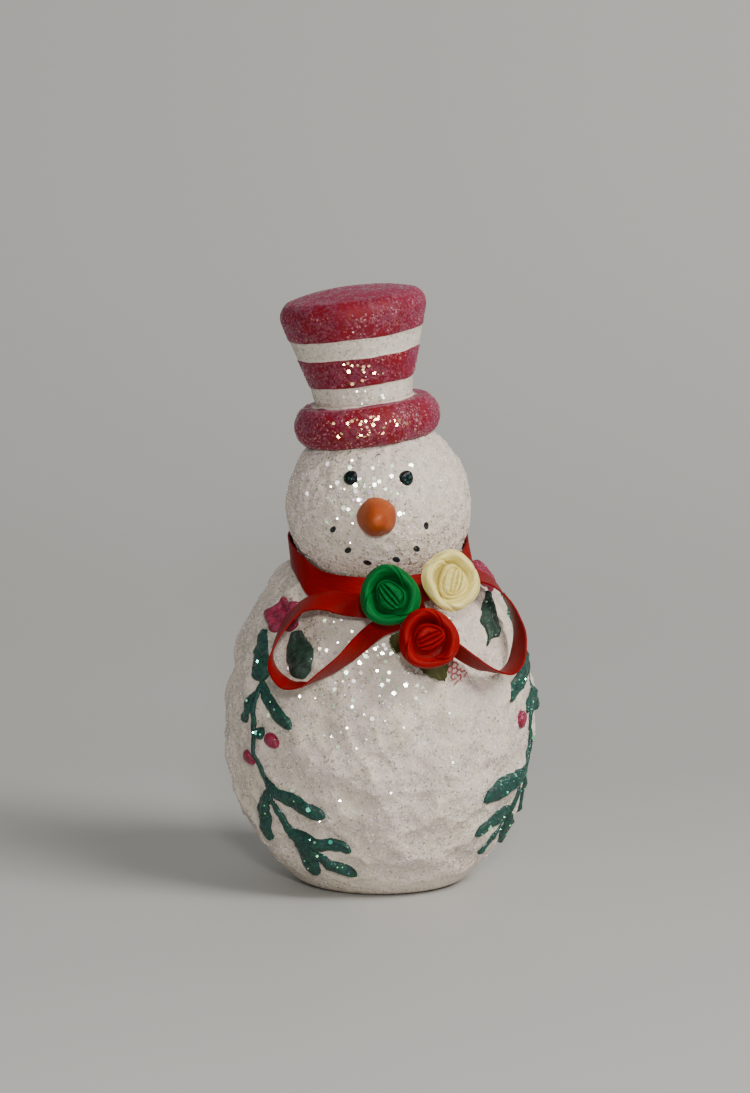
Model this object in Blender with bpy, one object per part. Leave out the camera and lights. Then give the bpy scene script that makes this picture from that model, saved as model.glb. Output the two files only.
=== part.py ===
"""Standing snowman figurine: an egg-shaped snow body and a round head with a flared top hat,
a cone nose, bead eyes, a satin neck ribbon with a two-loop bow, three rolled ribbon roses,
and a raised sprig with a blossom, leaves and berries on each side of the body.

Metres, +Z up. The origin is the middle of the flat base, and the face looks along -Y.
Azimuth is measured round the body from the face, positive towards +X.
"""

import math

import bmesh
import bpy
import numpy as np
from mathutils import Vector
from mathutils.bvhtree import BVHTree

MM = 0.001

# Snow body: an upright ellipsoid cut off flat by the base, whose rounded edge is given as
# radius and height in mm
BODY_RADIUS = 30.4 * MM
BODY_HALF_HEIGHT = 38.7 * MM
BODY_CENTRE_Z = 33.2 * MM
BASE_EDGE = ((13.6, 0.0), (15.3, 0.4), (16.8, 1.1))
WALL_START_Z = 2.0 * MM
BODY_LUMP = 0.6 * MM
BODY_COLUMNS = 42
BODY_ROWS = 21

# Head: a ball that sits in a dish in the top of the body, set forward so that the chin comes down
# lower than the nape
HEAD_RADIUS = 18.0 * MM
HEAD_CENTRE = Vector((-0.4, -6.5, 76.0)) * MM
HEAD_LUMP = 0.2 * MM
HEAD_COLUMNS = 26
HEAD_ROWS = 15
GAP = 0.32 * MM
DISH_RADIUS = HEAD_RADIUS + HEAD_LUMP / 2 + GAP
DISH_SHARES = (0.84, 0.64, 0.42, 0.2)

# Hat: a round brim and a flared crown, tipped to one side and forward. Its outline is radius
# and height in mm above the middle of the brim
HAT_TIP_LEFT = math.radians(7.5)
HAT_TIP_FORWARD = math.radians(4.6)
BRIM_UP = 17.1 * MM
BRIM_RING_RADIUS, BRIM_HALF_THICKNESS = 9.9, 4.4
BRIM_TURNS = (-100, -70, -40, -12, 15, 42, 68)
CROWN_SIDE = ((9.7, 3.9), (10.35, 8.0), (12.0, 13.6), (13.25, 17.6))
CROWN_TOP_RADIUS, CROWN_SHOULDER, SHOULDER_HEIGHT = 14.2, 3.3, 21.6
SHOULDER_TURNS = (-15, 15, 42, 66)
CROWN_TOP = ((8.8, 25.4), (5.0, 25.9), (2.0, 26.1))
HOLLOW_RADII = (2.0 * MM, 5.5 * MM, 9.0 * MM)
HAT_COLUMNS = 25

# Face: the nose's outline is shares of its radius and of its length, and the profile of every
# raised button is shares of its radius and of its rise
NOSE_RADIUS, NOSE_LENGTH = 3.7 * MM, 6.6 * MM
NOSE_OUTLINE = ((1.0, 0.08), (0.86, 0.34), (0.66, 0.62), (0.44, 0.85), (0.2, 0.98))
NOSE_HEADING = Vector((-0.02, -1.0, -0.03)).normalized()
EYE_RADIUS, EYE_RISE = 1.4 * MM, 0.6 * MM
EYE_AZIMUTHS = {"left": -18.5, "right": 18.5}
EYE_ELEVATION = math.radians(22.0)
BUTTON_OUTLINE = ((1.0, 0.4), (0.66, 0.87), (0.22, 1.0))

# Satin ribbon, 6.2 mm wide. Round the neck it keeps a lift from the smooth snow. Its lower edge
# follows the body at these azimuths and heights in mm, and from there it is pulled straight to
# the head
RIBBON_WIDTH = 6.2 * MM
RIBBON_THICKNESS = 0.45 * MM
NECK_LIFT = 0.9 * MM
NECK_LOW_EDGE = (
    (-180.0, 67.6), (-130.0, 67.0), (-90.0, 65.9), (-63.0, 64.0), (-48.0, 62.0), (-35.0, 59.4),
    (-15.0, 57.4), (10.0, 56.9), (35.0, 58.8), (60.0, 62.8), (85.0, 65.5), (130.0, 67.0), (180.0, 67.6),
)
NECK_COLUMNS = 40

# Bow: a knot, and a loop on each side whose middle line over the body runs from the knot out
# along its upper limb and back: azimuth, height in mm, and the ribbon's lean in degrees. At 0
# the ribbon stands square to the body, and a positive lean tips its front edge out of the loop.
# Near the knot the ribbon is gathered narrower and lies closer to the body
KNOT_PLACE = (9.0, 56.4 * MM, 2.6 * MM)
KNOT_SIZE = (9.0 * MM, 2.2 * MM, 5.4 * MM)
KNOT_LAYERS = ((-1.0, 0.7), (-0.6, 1.0), (0.6, 1.0), (1.0, 0.7))
LOOP_ROUTES = {
    "left": (
        (8.0, 58.0, -80.0), (-3.0, 57.0, -78.0), (-13.0, 57.2, -56.0), (-23.5, 57.4, -26.0),
        (-32.6, 56.2, -10.0), (-38.0, 52.9, 0.0), (-40.4, 49.8, 8.0), (-40.2, 47.2, 12.0),
        (-36.8, 44.7, 20.0), (-31.6, 43.1, 10.0), (-25.5, 43.3, -6.0), (-19.5, 45.2, -20.0),
        (-13.0, 47.9, -30.0), (-7.0, 51.0, -50.0), (-1.0, 53.4, -72.0), (7.0, 54.8, -80.0),
    ),
    "right": (
        (11.0, 58.2, -62.0), (24.0, 59.9, -50.0), (38.0, 61.0, -30.0), (51.0, 60.8, -14.0),
        (61.0, 59.1, -4.0), (65.0, 55.8, 8.0), (64.0, 52.0, 16.0), (60.0, 48.8, 22.0),
        (53.5, 45.8, 18.0), (46.5, 44.5, 0.0), (39.0, 45.2, -18.0), (32.5, 47.3, -30.0),
        (25.5, 50.3, -40.0), (18.5, 53.0, -52.0), (11.0, 54.6, -62.0),
    ),
}
LOOP_LIFT, GATHERED_LIFT = 4.0 * MM, 2.4 * MM
GATHERED_WIDTH = 3.4 * MM
GATHERED_SHARE = 0.3

# Rolled ribbon roses: the middle of each in mm, the way it faces, and where its spiral starts.
# The back's outline is shares of the radius and of the height
ROSE_RADIUS, ROSE_HEIGHT = 5.65 * MM, 5.6 * MM
ROSE_PITCH = 1.9 * MM
ROSE_BACK = ((0.25, -0.1), (0.66, -0.1), (0.88, 0.24), (1.0, 0.62))
ROSE_COLUMNS, ROSE_ROWS = 18, 9
ROSES = (
    ("rose_green", (1.75, -31.3, 61.2), (-0.14, -1.0, 0.22), 0.4),
    ("rose_cream", (13.1, -28.0, 63.6), (0.30, -1.0, 0.32), 2.2),
    ("rose_red", (8.9, -33.9, 53.45), (0.10, -1.0, 0.08), 4.1),
)

# Satin leaves and the scrap of net under the roses: azimuth, height and lift of each end
RIBBON_LEAVES = (
    ("leaf_under_green", (8.5, 53.2 * MM, 0.95 * MM), (6.0, 49.5 * MM, 1.3 * MM), 4.2 * MM),
    ("leaf_under_red", (16.6, 50.6 * MM, 1.5 * MM), (23.0, 44.1 * MM, 1.9 * MM), 6.5 * MM),
)
RIBBON_LEAF_HALF_THICKNESS, RIBBON_LEAF_CREASE = 0.2 * MM, 0.2 * MM
NET_FOOT = (26.4, 48.2 * MM, 0.8 * MM)
NET_TIP = (30.5, 44.2 * MM, 1.0 * MM)
NET_HALF_THICKNESS = 0.15 * MM
NET_HALF_WIDTHS = ((0.0, 0.9 * MM), (0.35, 1.3 * MM), (0.7, 1.7 * MM), (1.0, 2.0 * MM))

# Raised decoration. A spot on it is how many degrees it lies towards the front from the azimuth
# of its sprig, and its height in mm
SPRIG_AZIMUTHS = {"left": -53.0, "right": 78.0}
MM_PER_DEGREE = 0.53
RELIEF_GAP = 0.4 * MM
STEM_RISE, LEAF_RISE, BLOSSOM_RISE, BERRY_RISE = 0.75 * MM, 0.8 * MM, 1.1 * MM, 1.0 * MM
# Each stem from the top down: spot, and width in mm
STEMS = {
    "left": (
        (0.6, 44.0, 1.1), (0.1, 38.5, 1.1), (-0.4, 33.0, 1.2), (0.2, 28.5, 1.1), (3.4, 24.0, 1.6),
        (7.0, 18.3, 1.4), (13.0, 13.0, 1.8),
    ),
    "right": (
        (-0.8, 50.6, 1.1), (-5.6, 46.0, 1.1), (-3.5, 38.3, 1.1), (0.8, 34.0, 1.2), (0.6, 28.5, 1.1),
        (3.6, 24.8, 1.6), (6.8, 20.8, 1.4), (8.6, 15.6, 1.7),
    ),
}
# Each leaf on a stem: foot spot, tip spot, width in mm, and sideways bow as a share of its length.
# The last one on each side is the bud cup that holds a berry
SPRIG_LEAVES = {
    "left": (
        ((-4.6, 52.2), (0.4, 43.0), 4.8, 0.0),
        ((0.8, 42.8), (19.4, 34.9), 3.0, 0.05),
        ((-0.2, 40.6), (-10.0, 34.6), 2.9, -0.05),
        ((3.9, 23.8), (31.0, 18.1), 3.6, 0.06),
        ((4.8, 21.6), (-4.6, 11.2), 3.1, 0.12),
        ((11.5, 14.2), (40.0, 11.0), 2.6, 0.05),
        ((12.4, 13.4), (40.6, 5.4), 2.8, 0.05),
        ((12.2, 13.6), (15.4, 4.6), 3.4, -0.06),
        ((-0.2, 33.2), (5.6, 33.0), 2.3, 0.0),
    ),
    "right": (
        ((-13.5, 57.0), (-0.4, 49.8), 4.4, 0.0),
        ((-6.6, 47.0), (21.4, 38.8), 3.2, -0.02),
        ((-4.8, 40.6), (-14.0, 34.6), 2.9, -0.05),
        ((3.2, 24.4), (34.4, 19.9), 4.6, -0.05),
        ((2.4, 24.0), (-4.6, 14.4), 2.4, 0.1),
        ((7.6, 16.6), (34.0, 13.1), 3.2, -0.03),
        ((7.2, 15.4), (22.0, 7.8), 2.7, -0.03),
        ((7.0, 15.2), (-1.8, 8.9), 4.2, 0.06),
        ((-3.4, 39.4), (8.4, 35.8), 2.4, 0.0),
    ),
}
# Where leaves cross the stem, each stands a little higher than the last
STEP_UP = 0.03 * MM
# Each berry: side, spot, half length and half width, and how far its length is turned from level
BERRIES = {
    "berry_left_upper": ("left", (9.4, 32.0), 1.75 * MM, 1.3 * MM, 40.0),
    "berry_left_lower": ("left", (-4.6, 27.7), 1.65 * MM, 1.35 * MM, 40.0),
    "berry_right": ("right", (12.2, 34.5), 1.75 * MM, 1.3 * MM, 100.0),
}
BLOSSOM_HALF_WIDTH, BLOSSOM_HALF_HEIGHT = 5.3 * MM, 3.7 * MM
BLOSSOM_SPOTS = {"left": (3.4, 55.4), "right": (-3.2, 61.7)}
BLOSSOM_OUTLINE = ((1.0, 0.45), (0.8, 1.0), (0.5, 0.75), (0.2, 1.0))
# The broad leaf under each blossom: foot, tip and width
HOLLY_LEAVES = {
    "left": ((14.2, 52.9), (22.8, 44.4), 6.4),
    "right": ((12.4, 58.6), (31.0, 49.6), 5.6),
}

# Level direction from the figure towards whoever faces it
VIEWER = Vector((0.0, -1.0, 0.0))

COLOURS = {
    "snow": ((0.83, 0.80, 0.76), 0.62, 0.0),
    "hat_red": ((0.55, 0.02, 0.06), 0.5, 0.0),
    "carrot": ((0.72, 0.20, 0.04), 0.6, 0.0),
    "bead_black": ((0.01, 0.015, 0.02), 0.2, 0.0),
    "ribbon_red": ((0.50, 0.0, 0.01), 0.45, 0.0),
    "rose_green": ((0.0, 0.28, 0.08), 0.45, 0.0),
    "rose_cream": ((0.88, 0.80, 0.50), 0.5, 0.0),
    "rose_red": ((0.50, 0.0, 0.01), 0.5, 0.0),
    "leaf_olive": ((0.06, 0.09, 0.03), 0.6, 0.0),
    "net_pink": ((0.70, 0.12, 0.16), 0.6, 0.0),
    "sprig_green": ((0.02, 0.17, 0.10), 0.4, 0.0),
    "blossom_red": ((0.42, 0.03, 0.10), 0.5, 0.0),
}


def clear_scene():
    """Removes whatever objects the scene starts with."""
    for thing in list(bpy.data.objects):
        bpy.data.objects.remove(thing)


def finish_of(name):
    """The Principled BSDF material of that name, made once."""
    if name in bpy.data.materials:
        return bpy.data.materials[name]
    colour, roughness, metallic = COLOURS[name]
    made = bpy.data.materials.new(name)
    made.use_nodes = True
    shader = made.node_tree.nodes["Principled BSDF"]
    shader.inputs["Base Color"].default_value = (*colour, 1.0)
    shader.inputs["Roughness"].default_value = roughness
    shader.inputs["Metallic"].default_value = metallic
    return made


def solid(name, points, faces, finish):
    """A named object from points and faces, its faces turned outwards and shaded smooth."""
    mesh = bpy.data.meshes.new(name)
    mesh.from_pydata([tuple(p) for p in points], [], faces)
    work = bmesh.new()
    work.from_mesh(mesh)
    bmesh.ops.remove_doubles(work, verts=work.verts, dist=0.00001)
    bmesh.ops.recalc_face_normals(work, faces=work.faces)
    bmesh.ops.triangulate(work, faces=work.faces)
    work.to_mesh(mesh)
    work.free()
    mesh.shade_smooth()
    mesh.set_sharp_from_angle(angle=math.radians(50))
    mesh.materials.append(finish_of(finish))
    made = bpy.data.objects.new(name, mesh)
    bpy.context.scene.collection.objects.link(made)
    return made


def lofted(rings):
    """Points and faces of a skin over rings of equal length, its first and last ring closed flat."""
    count = len(rings[0])
    points = [p for ring in rings for p in ring]
    faces = []
    for row in range(len(rings) - 1):
        for k in range(count):
            after = (k + 1) % count
            low, high = row * count, (row + 1) * count
            faces.append((low + k, low + after, high + after, high + k))
    faces.append(tuple(range(count)))
    faces.append(tuple(range((len(rings) - 1) * count, len(rings) * count)))
    return points, faces


def smooth_through(values, steps):
    """Points of a smooth curve through the values, with the given steps from one to the next."""
    rows = [np.array(value, float) for value in values]
    rows = [2 * rows[0] - rows[1], *rows, 2 * rows[-1] - rows[-2]]
    curve = []
    for before, start, stop, after in zip(rows, rows[1:], rows[2:], rows[3:]):
        speed = (stop - before) / 2
        bend = before - 2.5 * start + 2 * stop - after / 2
        twist = 1.5 * (start - stop) + (after - before) / 2
        for k in range(steps):
            t = k / steps
            curve.append(start + speed * t + bend * t**2 + twist * t**3)
    return curve + [rows[-2]]


def lump_waves(seed, shortest, longest, count=22):
    """Wave vectors and phases of the plane waves whose sum makes a lumpy snow surface."""
    draw = np.random.default_rng(seed)
    heading = draw.normal(size=(count, 3))
    heading /= np.linalg.norm(heading, axis=1)[:, None]
    wavelength = draw.uniform(shortest, longest, count)
    return heading * (2 * math.pi / wavelength)[:, None], draw.uniform(0, 2 * math.pi, count)


BODY_WAVES = lump_waves(11, 8.5 * MM, 14.0 * MM)
HEAD_WAVES = lump_waves(23, 7.0 * MM, 13.0 * MM)


def lump(point, waves):
    """Height of the lumps at a point, about -1 to 1: the waves' sum, its hollows sharper than its tops."""
    vectors, phases = waves
    total = float(np.sin(vectors @ np.array(point) + phases).sum()) / math.sqrt(len(phases))
    return math.tanh(0.9 * total) - 0.25 * abs(math.tanh(0.9 * total))


def around(azimuth):
    """The level direction at an azimuth in degrees, where 0 is the face's."""
    turn = math.radians(azimuth)
    return Vector((math.sin(turn), -math.cos(turn), 0.0))


def body_radius(z):
    """Radius of the smooth ellipsoid at a height."""
    share = (z - BODY_CENTRE_Z) / BODY_HALF_HEIGHT
    return BODY_RADIUS * math.sqrt(max(0.0, 1.0 - share * share))


def body_normal(azimuth, z):
    """The direction straight out of the ellipsoid."""
    level = body_radius(z) / BODY_RADIUS**2
    rise = (z - BODY_CENTRE_Z) / BODY_HALF_HEIGHT**2
    return (around(azimuth) * level + Vector((0, 0, rise))).normalized()


def body_point(azimuth, z, lift=0.0):
    """A point of the smooth ellipsoid, or lifted off it along its normal."""
    foot = around(azimuth) * body_radius(z) + Vector((0, 0, z))
    return foot + body_normal(azimuth, z) * lift


def crease_z(azimuth):
    """Height where the outside of the body meets the dish."""
    z = HEAD_CENTRE.z - HEAD_RADIUS
    while (body_point(azimuth, z) - HEAD_CENTRE).length > DISH_RADIUS:
        z += 0.05 * MM
    return z


def dish_point(rim, share):
    """A point of the dish between its lowest point, at share 0, and a point on its rim."""
    lowest = HEAD_CENTRE - Vector((0, 0, DISH_RADIUS))
    heading = lowest.lerp(rim, share) - HEAD_CENTRE
    return HEAD_CENTRE + heading.normalized() * DISH_RADIUS


def snow_body():
    """The flat base, the lumpy wall up to the crease, and the dish that the head sits in."""
    azimuths = [360.0 * k / BODY_COLUMNS for k in range(BODY_COLUMNS)]
    rims = [crease_z(azimuth) for azimuth in azimuths]
    rings = [[(around(a) * radius + Vector((0, 0, z))) * MM for a in azimuths] for radius, z in BASE_EDGE]
    start = math.asin((WALL_START_Z - BODY_CENTRE_Z) / BODY_HALF_HEIGHT)
    for row in range(BODY_ROWS):
        share = row / (BODY_ROWS - 1)
        fade = min(1.0, 8.0 * share, 5.0 * (1.0 - share))
        ring = []
        for azimuth, rim in zip(azimuths, rims):
            stop = math.asin((rim - BODY_CENTRE_Z) / BODY_HALF_HEIGHT)
            z = BODY_CENTRE_Z + BODY_HALF_HEIGHT * math.sin(start + (stop - start) * share)
            plain = body_point(azimuth, z)
            height = BODY_LUMP * fade * lump(plain, BODY_WAVES)
            ring.append(clear_of_head(plain + body_normal(azimuth, z) * height, DISH_RADIUS))
        rings.append(ring)
    edge = rings[-1]
    for share in DISH_SHARES:
        rings.append([dish_point(rim, share) for rim in edge])
    return solid("body", *lofted(rings), "snow")


def head():
    """A ball that is smooth where it sits in the dish and lumpy above."""
    rings = []
    for row in range(1, HEAD_ROWS):
        latitude = math.pi * (row / HEAD_ROWS - 0.5)
        fade = min(1.0, max(0.0, (math.sin(latitude) + 0.62) * 4.0))
        ring = []
        for k in range(HEAD_COLUMNS):
            level = around(360.0 * k / HEAD_COLUMNS) * math.cos(latitude)
            outward = level + Vector((0, 0, math.sin(latitude)))
            plain = HEAD_CENTRE + outward * HEAD_RADIUS
            ring.append(plain + outward * HEAD_LUMP * fade * lump(plain, HEAD_WAVES))
        rings.append(ring)
    return solid("head", *lofted(rings), "snow")


def hat_axis():
    """The direction that the tipped hat points."""
    return Vector((-math.sin(HAT_TIP_LEFT), -math.sin(HAT_TIP_FORWARD), 1.0)).normalized()


def arc(radius, centre_radius, centre_height, turns):
    """Points of an arc in an outline of radius and height, its angles in degrees from level."""
    found = []
    for turn in turns:
        angle = math.radians(turn)
        found.append((centre_radius + radius * math.cos(angle), centre_height + radius * math.sin(angle)))
    return found


def hat_profile():
    """Radius and height above the brim's middle, from under the brim, over the crown, to the top."""
    outline = arc(BRIM_HALF_THICKNESS, BRIM_RING_RADIUS, 0.0, BRIM_TURNS) + list(CROWN_SIDE)
    outline += arc(CROWN_SHOULDER, CROWN_TOP_RADIUS - CROWN_SHOULDER, SHOULDER_HEIGHT, SHOULDER_TURNS)
    return [(radius * MM, height * MM) for radius, height in outline + list(CROWN_TOP)]


def hat():
    """The crown and brim turned about the tipped axis, hollowed under the brim to fit the head."""
    axis = hat_axis()
    side = axis.cross(Vector((0, 1, 0))).normalized()
    front = axis.cross(side)
    middle = HEAD_CENTRE + axis * BRIM_UP
    hollow = HEAD_RADIUS + HEAD_LUMP + GAP
    under = [(radius, math.sqrt(hollow**2 - radius**2) - BRIM_UP) for radius in HOLLOW_RADII]
    rings = []
    for radius, height in under + hat_profile():
        ring = []
        for k in range(HAT_COLUMNS):
            turn = 2 * math.pi * k / HAT_COLUMNS
            level = side * math.cos(turn) + front * math.sin(turn)
            ring.append(middle + level * radius + axis * height)
        rings.append(ring)
    lifted = [[clear_of_head(p, hollow) for p in ring] for ring in rings]
    return solid("hat", *lofted(lifted), "hat_red")


def clear_of_head(point, distance):
    """The point, pushed straight out of the head's ball where it is closer than the distance."""
    out = point - HEAD_CENTRE
    return point if out.length >= distance else HEAD_CENTRE + out.normalized() * distance


class Surface:
    """The faceted outside of a finished solid, for pieces that sit on it."""

    def __init__(self, piece):
        mesh = piece.data
        self.tree = BVHTree.FromPolygons(
            [v.co for v in mesh.vertices], [tuple(p.vertices) for p in mesh.polygons]
        )

    def seat(self, point, outward, lift):
        """Where a line along outward through the point comes out of the solid, lifted off it."""
        hit = self.tree.ray_cast(point + outward * 12 * MM, -outward)[0]
        return (hit if hit is not None else point) + outward * lift


def seated_dome(name, surface, foot, outward, edge, outline, rise, columns, finish):
    """A closed button on a surface: edge(turn) is its radius, and the outline gives shares of that
    radius and of the rise. Its underside follows the surface at a gap, and so does its top."""
    side = outward.cross(Vector((0, 0, 1))).normalized()
    up = side.cross(outward)
    layers = [(0.3, 0.0), (0.95, 0.0), *outline]
    rings = []
    for share, lift in layers:
        ring = []
        for k in range(columns):
            turn = 2 * math.pi * k / columns
            level = (side * math.cos(turn) + up * math.sin(turn)) * edge(turn) * share
            ring.append(surface.seat(foot + level, outward, GAP + rise * lift))
        rings.append(ring)
    return solid(name, *lofted(rings), finish)


def nose(surface):
    """A blunt cone, a little uneven round its foot."""
    foot = HEAD_CENTRE + NOSE_HEADING * HEAD_RADIUS

    def edge(turn):
        return NOSE_RADIUS * (1.0 + 0.02 * math.cos(5 * turn))

    made = seated_dome(
        "nose", surface, foot, NOSE_HEADING, edge, NOSE_OUTLINE, NOSE_LENGTH, 12, "carrot"
    )
    straighten(made, foot, NOSE_HEADING, 0.3 * NOSE_LENGTH)
    return made


def straighten(piece, foot, along, above):
    """Above a height, a ring of the piece stands square to its axis instead of following the head."""
    for vertex in piece.data.vertices:
        rise = (vertex.co - foot).dot(along)
        if rise > above:
            away = (vertex.co - foot - along * rise).length
            vertex.co += along * away**2 / (2 * HEAD_RADIUS)


def eyes(surface):
    """Two round beads."""
    for label, azimuth in EYE_AZIMUTHS.items():
        outward = around(azimuth) * math.cos(EYE_ELEVATION) + Vector((0, 0, math.sin(EYE_ELEVATION)))
        seated_dome(
            "eye_" + label, surface, HEAD_CENTRE + outward * HEAD_RADIUS, outward,
            lambda turn: EYE_RADIUS, BUTTON_OUTLINE, EYE_RISE, 10, "bead_black",
        )


def strip(name, stations, finish):
    """A ribbon of real thickness: each station is its middle, its half width and its face normal."""
    rings = []
    for middle, half, normal in stations:
        out = normal.normalized() * (RIBBON_THICKNESS / 2)
        rings.append([middle - half - out, middle + half - out, middle + half + out, middle - half + out])
    return solid(name, *lofted(rings), finish)


def neck_low_z(azimuth):
    """Height of the neck ribbon's lower edge, eased between its named azimuths."""
    for (start, low), (stop, high) in zip(NECK_LOW_EDGE, NECK_LOW_EDGE[1:]):
        if azimuth <= stop:
            share = (azimuth - start) / (stop - start)
            return (low + (high - low) * share * share * (3.0 - 2.0 * share)) * MM
    return NECK_LOW_EDGE[-1][1] * MM


def neck_climb(azimuth, low_z, distance):
    """Two points of a line a little outside the body and head: at a height on the body, and the
    distance further up along it."""
    heights = np.linspace(50.0 * MM, 80.0 * MM, 400)
    body = BODY_RADIUS * np.sqrt(np.clip(1 - ((heights - BODY_CENTRE_Z) / BODY_HALF_HEIGHT) ** 2, 0, 1))
    forward = around(azimuth).dot(HEAD_CENTRE)
    level = forward**2 - HEAD_CENTRE.xy.length_squared
    ball = forward + np.sqrt(np.clip(level + HEAD_RADIUS**2 - (heights - HEAD_CENTRE.z) ** 2, 0, 1))
    radii = np.maximum(body, ball) + NECK_LIFT
    lengths = np.append(0.0, np.cumsum(np.hypot(np.diff(radii), np.diff(heights))))
    low = np.interp(low_z, heights, lengths)
    found = []
    for length in (low, low + distance):
        radius, z = np.interp(length, lengths, radii), np.interp(length, lengths, heights)
        found.append(around(azimuth) * radius + Vector((0, 0, z)))
    return found


def neck_ribbon():
    """A closed band pulled straight from its lower edge on the body to its upper edge on the head."""
    rings = []
    for k in range(NECK_COLUMNS):
        azimuth = 360.0 * k / NECK_COLUMNS - 180.0
        low, high = neck_climb(azimuth, neck_low_z(azimuth), RIBBON_WIDTH)
        out = around(azimuth + 90.0).cross(high - low).normalized() * RIBBON_THICKNESS / 2
        rings.append([low - out, high - out, high + out, low + out])
    points, faces = lofted([*rings, rings[0]])
    return solid("neck_ribbon", points, faces[:-2], "ribbon_red")


def bow_loop(label):
    """One loop of the bow as a band whose ends run into the knot."""
    outward = 1.0 if label == "left" else -1.0
    places = smooth_through(LOOP_ROUTES[label], 2)
    middles, widths = [], []
    for k, (azimuth, height, lean) in enumerate(places):
        share = k / (len(places) - 1)
        free = min(1.0, min(share, 1.0 - share) / GATHERED_SHARE)
        free = free * free * (3.0 - 2.0 * free)
        middles.append(body_point(azimuth, height * MM, GATHERED_LIFT + (LOOP_LIFT - GATHERED_LIFT) * free))
        widths.append(GATHERED_WIDTH + (RIBBON_WIDTH - GATHERED_WIDTH) * free)
    stations = []
    for k, middle in enumerate(middles):
        before, after = middles[max(0, k - 1)], middles[min(len(middles) - 1, k + 1)]
        tangent = (after - before).normalized()
        square = (VIEWER - tangent * VIEWER.dot(tangent)).normalized()
        lean = math.radians(places[k][2])
        half = square * math.cos(lean) + tangent.cross(square) * math.sin(lean) * outward
        stations.append((middle, half * widths[k] / 2, tangent.cross(half)))
    return strip("bow_loop_" + label, stations, "ribbon_red")


def as_guide(piece):
    """Marks a shape that is only joined to or cut from another."""
    piece.hide_render = True
    piece.display_type = "WIRE"


def join_to(piece, others):
    """Makes one solid of the piece and the others."""
    for other in others:
        union = piece.modifiers.new("join_" + other.name, "BOOLEAN")
        union.operation = "UNION"
        union.solver = "EXACT"
        union.object = other
        as_guide(other)


def knot():
    """A soft-cornered pillow of wound ribbon behind the roses."""
    middle = body_point(*KNOT_PLACE)
    out = body_normal(*KNOT_PLACE[:2])
    side = around(KNOT_PLACE[0] + 90.0)
    up = out.cross(side)
    width, depth, height = KNOT_SIZE
    columns = 12
    rings = []
    for layer, scale in KNOT_LAYERS:
        ring = []
        for k in range(columns):
            turn = 2 * math.pi * k / columns
            level = side * math.cos(turn) * width / 2 + up * math.sin(turn) * height / 2
            ring.append(middle + level * scale + out * layer * depth / 2)
        rings.append(ring)
    return solid("bow", *lofted(rings), "ribbon_red")


def bow():
    """The knot with both loops joined to it."""
    made = knot()
    join_to(made, [bow_loop(label) for label in LOOP_ROUTES])
    return made


def rose(name, middle, facing, turn_on):
    """A rolled ribbon rosebud: a cup with a spiral ridge that winds in to a raised heart."""
    out = Vector(facing).normalized()
    side = out.cross(Vector((0, 0, 1))).normalized()
    up = side.cross(out)
    turns = [2 * math.pi * k / ROSE_COLUMNS for k in range(ROSE_COLUMNS)]
    layers = [(share, [height] * ROSE_COLUMNS) for share, height in ROSE_BACK]
    for row in range(ROSE_ROWS):
        share = 0.96 - 0.9 * row / (ROSE_ROWS - 1)
        cup = 0.78 + 0.12 * math.cos(math.pi * share)
        winding = 2 * math.pi * share * ROSE_RADIUS / ROSE_PITCH + turn_on
        layers.append((share, [cup + 0.1 + 0.1 * math.cos(winding - turn) for turn in turns]))
    rings = []
    for share, heights in layers:
        ring = []
        for turn, height in zip(turns, heights):
            edge = ROSE_RADIUS * (0.975 + 0.025 * math.cos(3 * turn + turn_on))
            level = (side * math.cos(turn) + up * math.sin(turn)) * edge * share
            ring.append(Vector(middle) * MM + level + out * ROSE_HEIGHT * (height - 0.5))
        rings.append(ring)
    return solid(name, *lofted(rings), name)


def laid_frame(foot_place, tip_place):
    """Foot, tip, outward and sideways directions of a flat scrap laid along the body."""
    foot, tip = body_point(*foot_place), body_point(*tip_place)
    out = body_normal(tip_place[0], (foot_place[1] + tip_place[1]) / 2)
    return foot, tip, out, (tip - foot).cross(out).normalized()


def ribbon_leaf(name, foot_place, tip_place, width):
    """A satin leaf: a pointed oval sheet with a shallow crease along its middle."""
    foot, tip, out, side = laid_frame(foot_place, tip_place)
    thick = out * RIBBON_LEAF_HALF_THICKNESS
    steps = 8
    rings = []
    for k in range(steps + 1):
        share = k / steps
        half = side * width / 2 * max(0.12, math.sin(math.pi * share**0.8) ** 0.8)
        middle = foot.lerp(tip, share)
        fold = middle - out * RIBBON_LEAF_CREASE
        ring = [middle - half - thick, fold - thick, middle + half - thick]
        rings.append(ring + [middle + half + thick, fold + thick, middle - half + thick])
    return solid(name, *lofted(rings), "leaf_olive")


def net_scrap():
    """A scrap of net tucked under the red rose, as one thin plate of its outline."""
    foot, tip, out, side = laid_frame(NET_FOOT, NET_TIP)
    thick = out * NET_HALF_THICKNESS
    rings = []
    for share, half_width in NET_HALF_WIDTHS:
        left, right = foot.lerp(tip, share) - side * half_width, foot.lerp(tip, share) + side * half_width
        rings.append([left - thick, right - thick, right + thick, left + thick])
    return solid("net_scrap", *lofted(rings), "net_pink")


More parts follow.
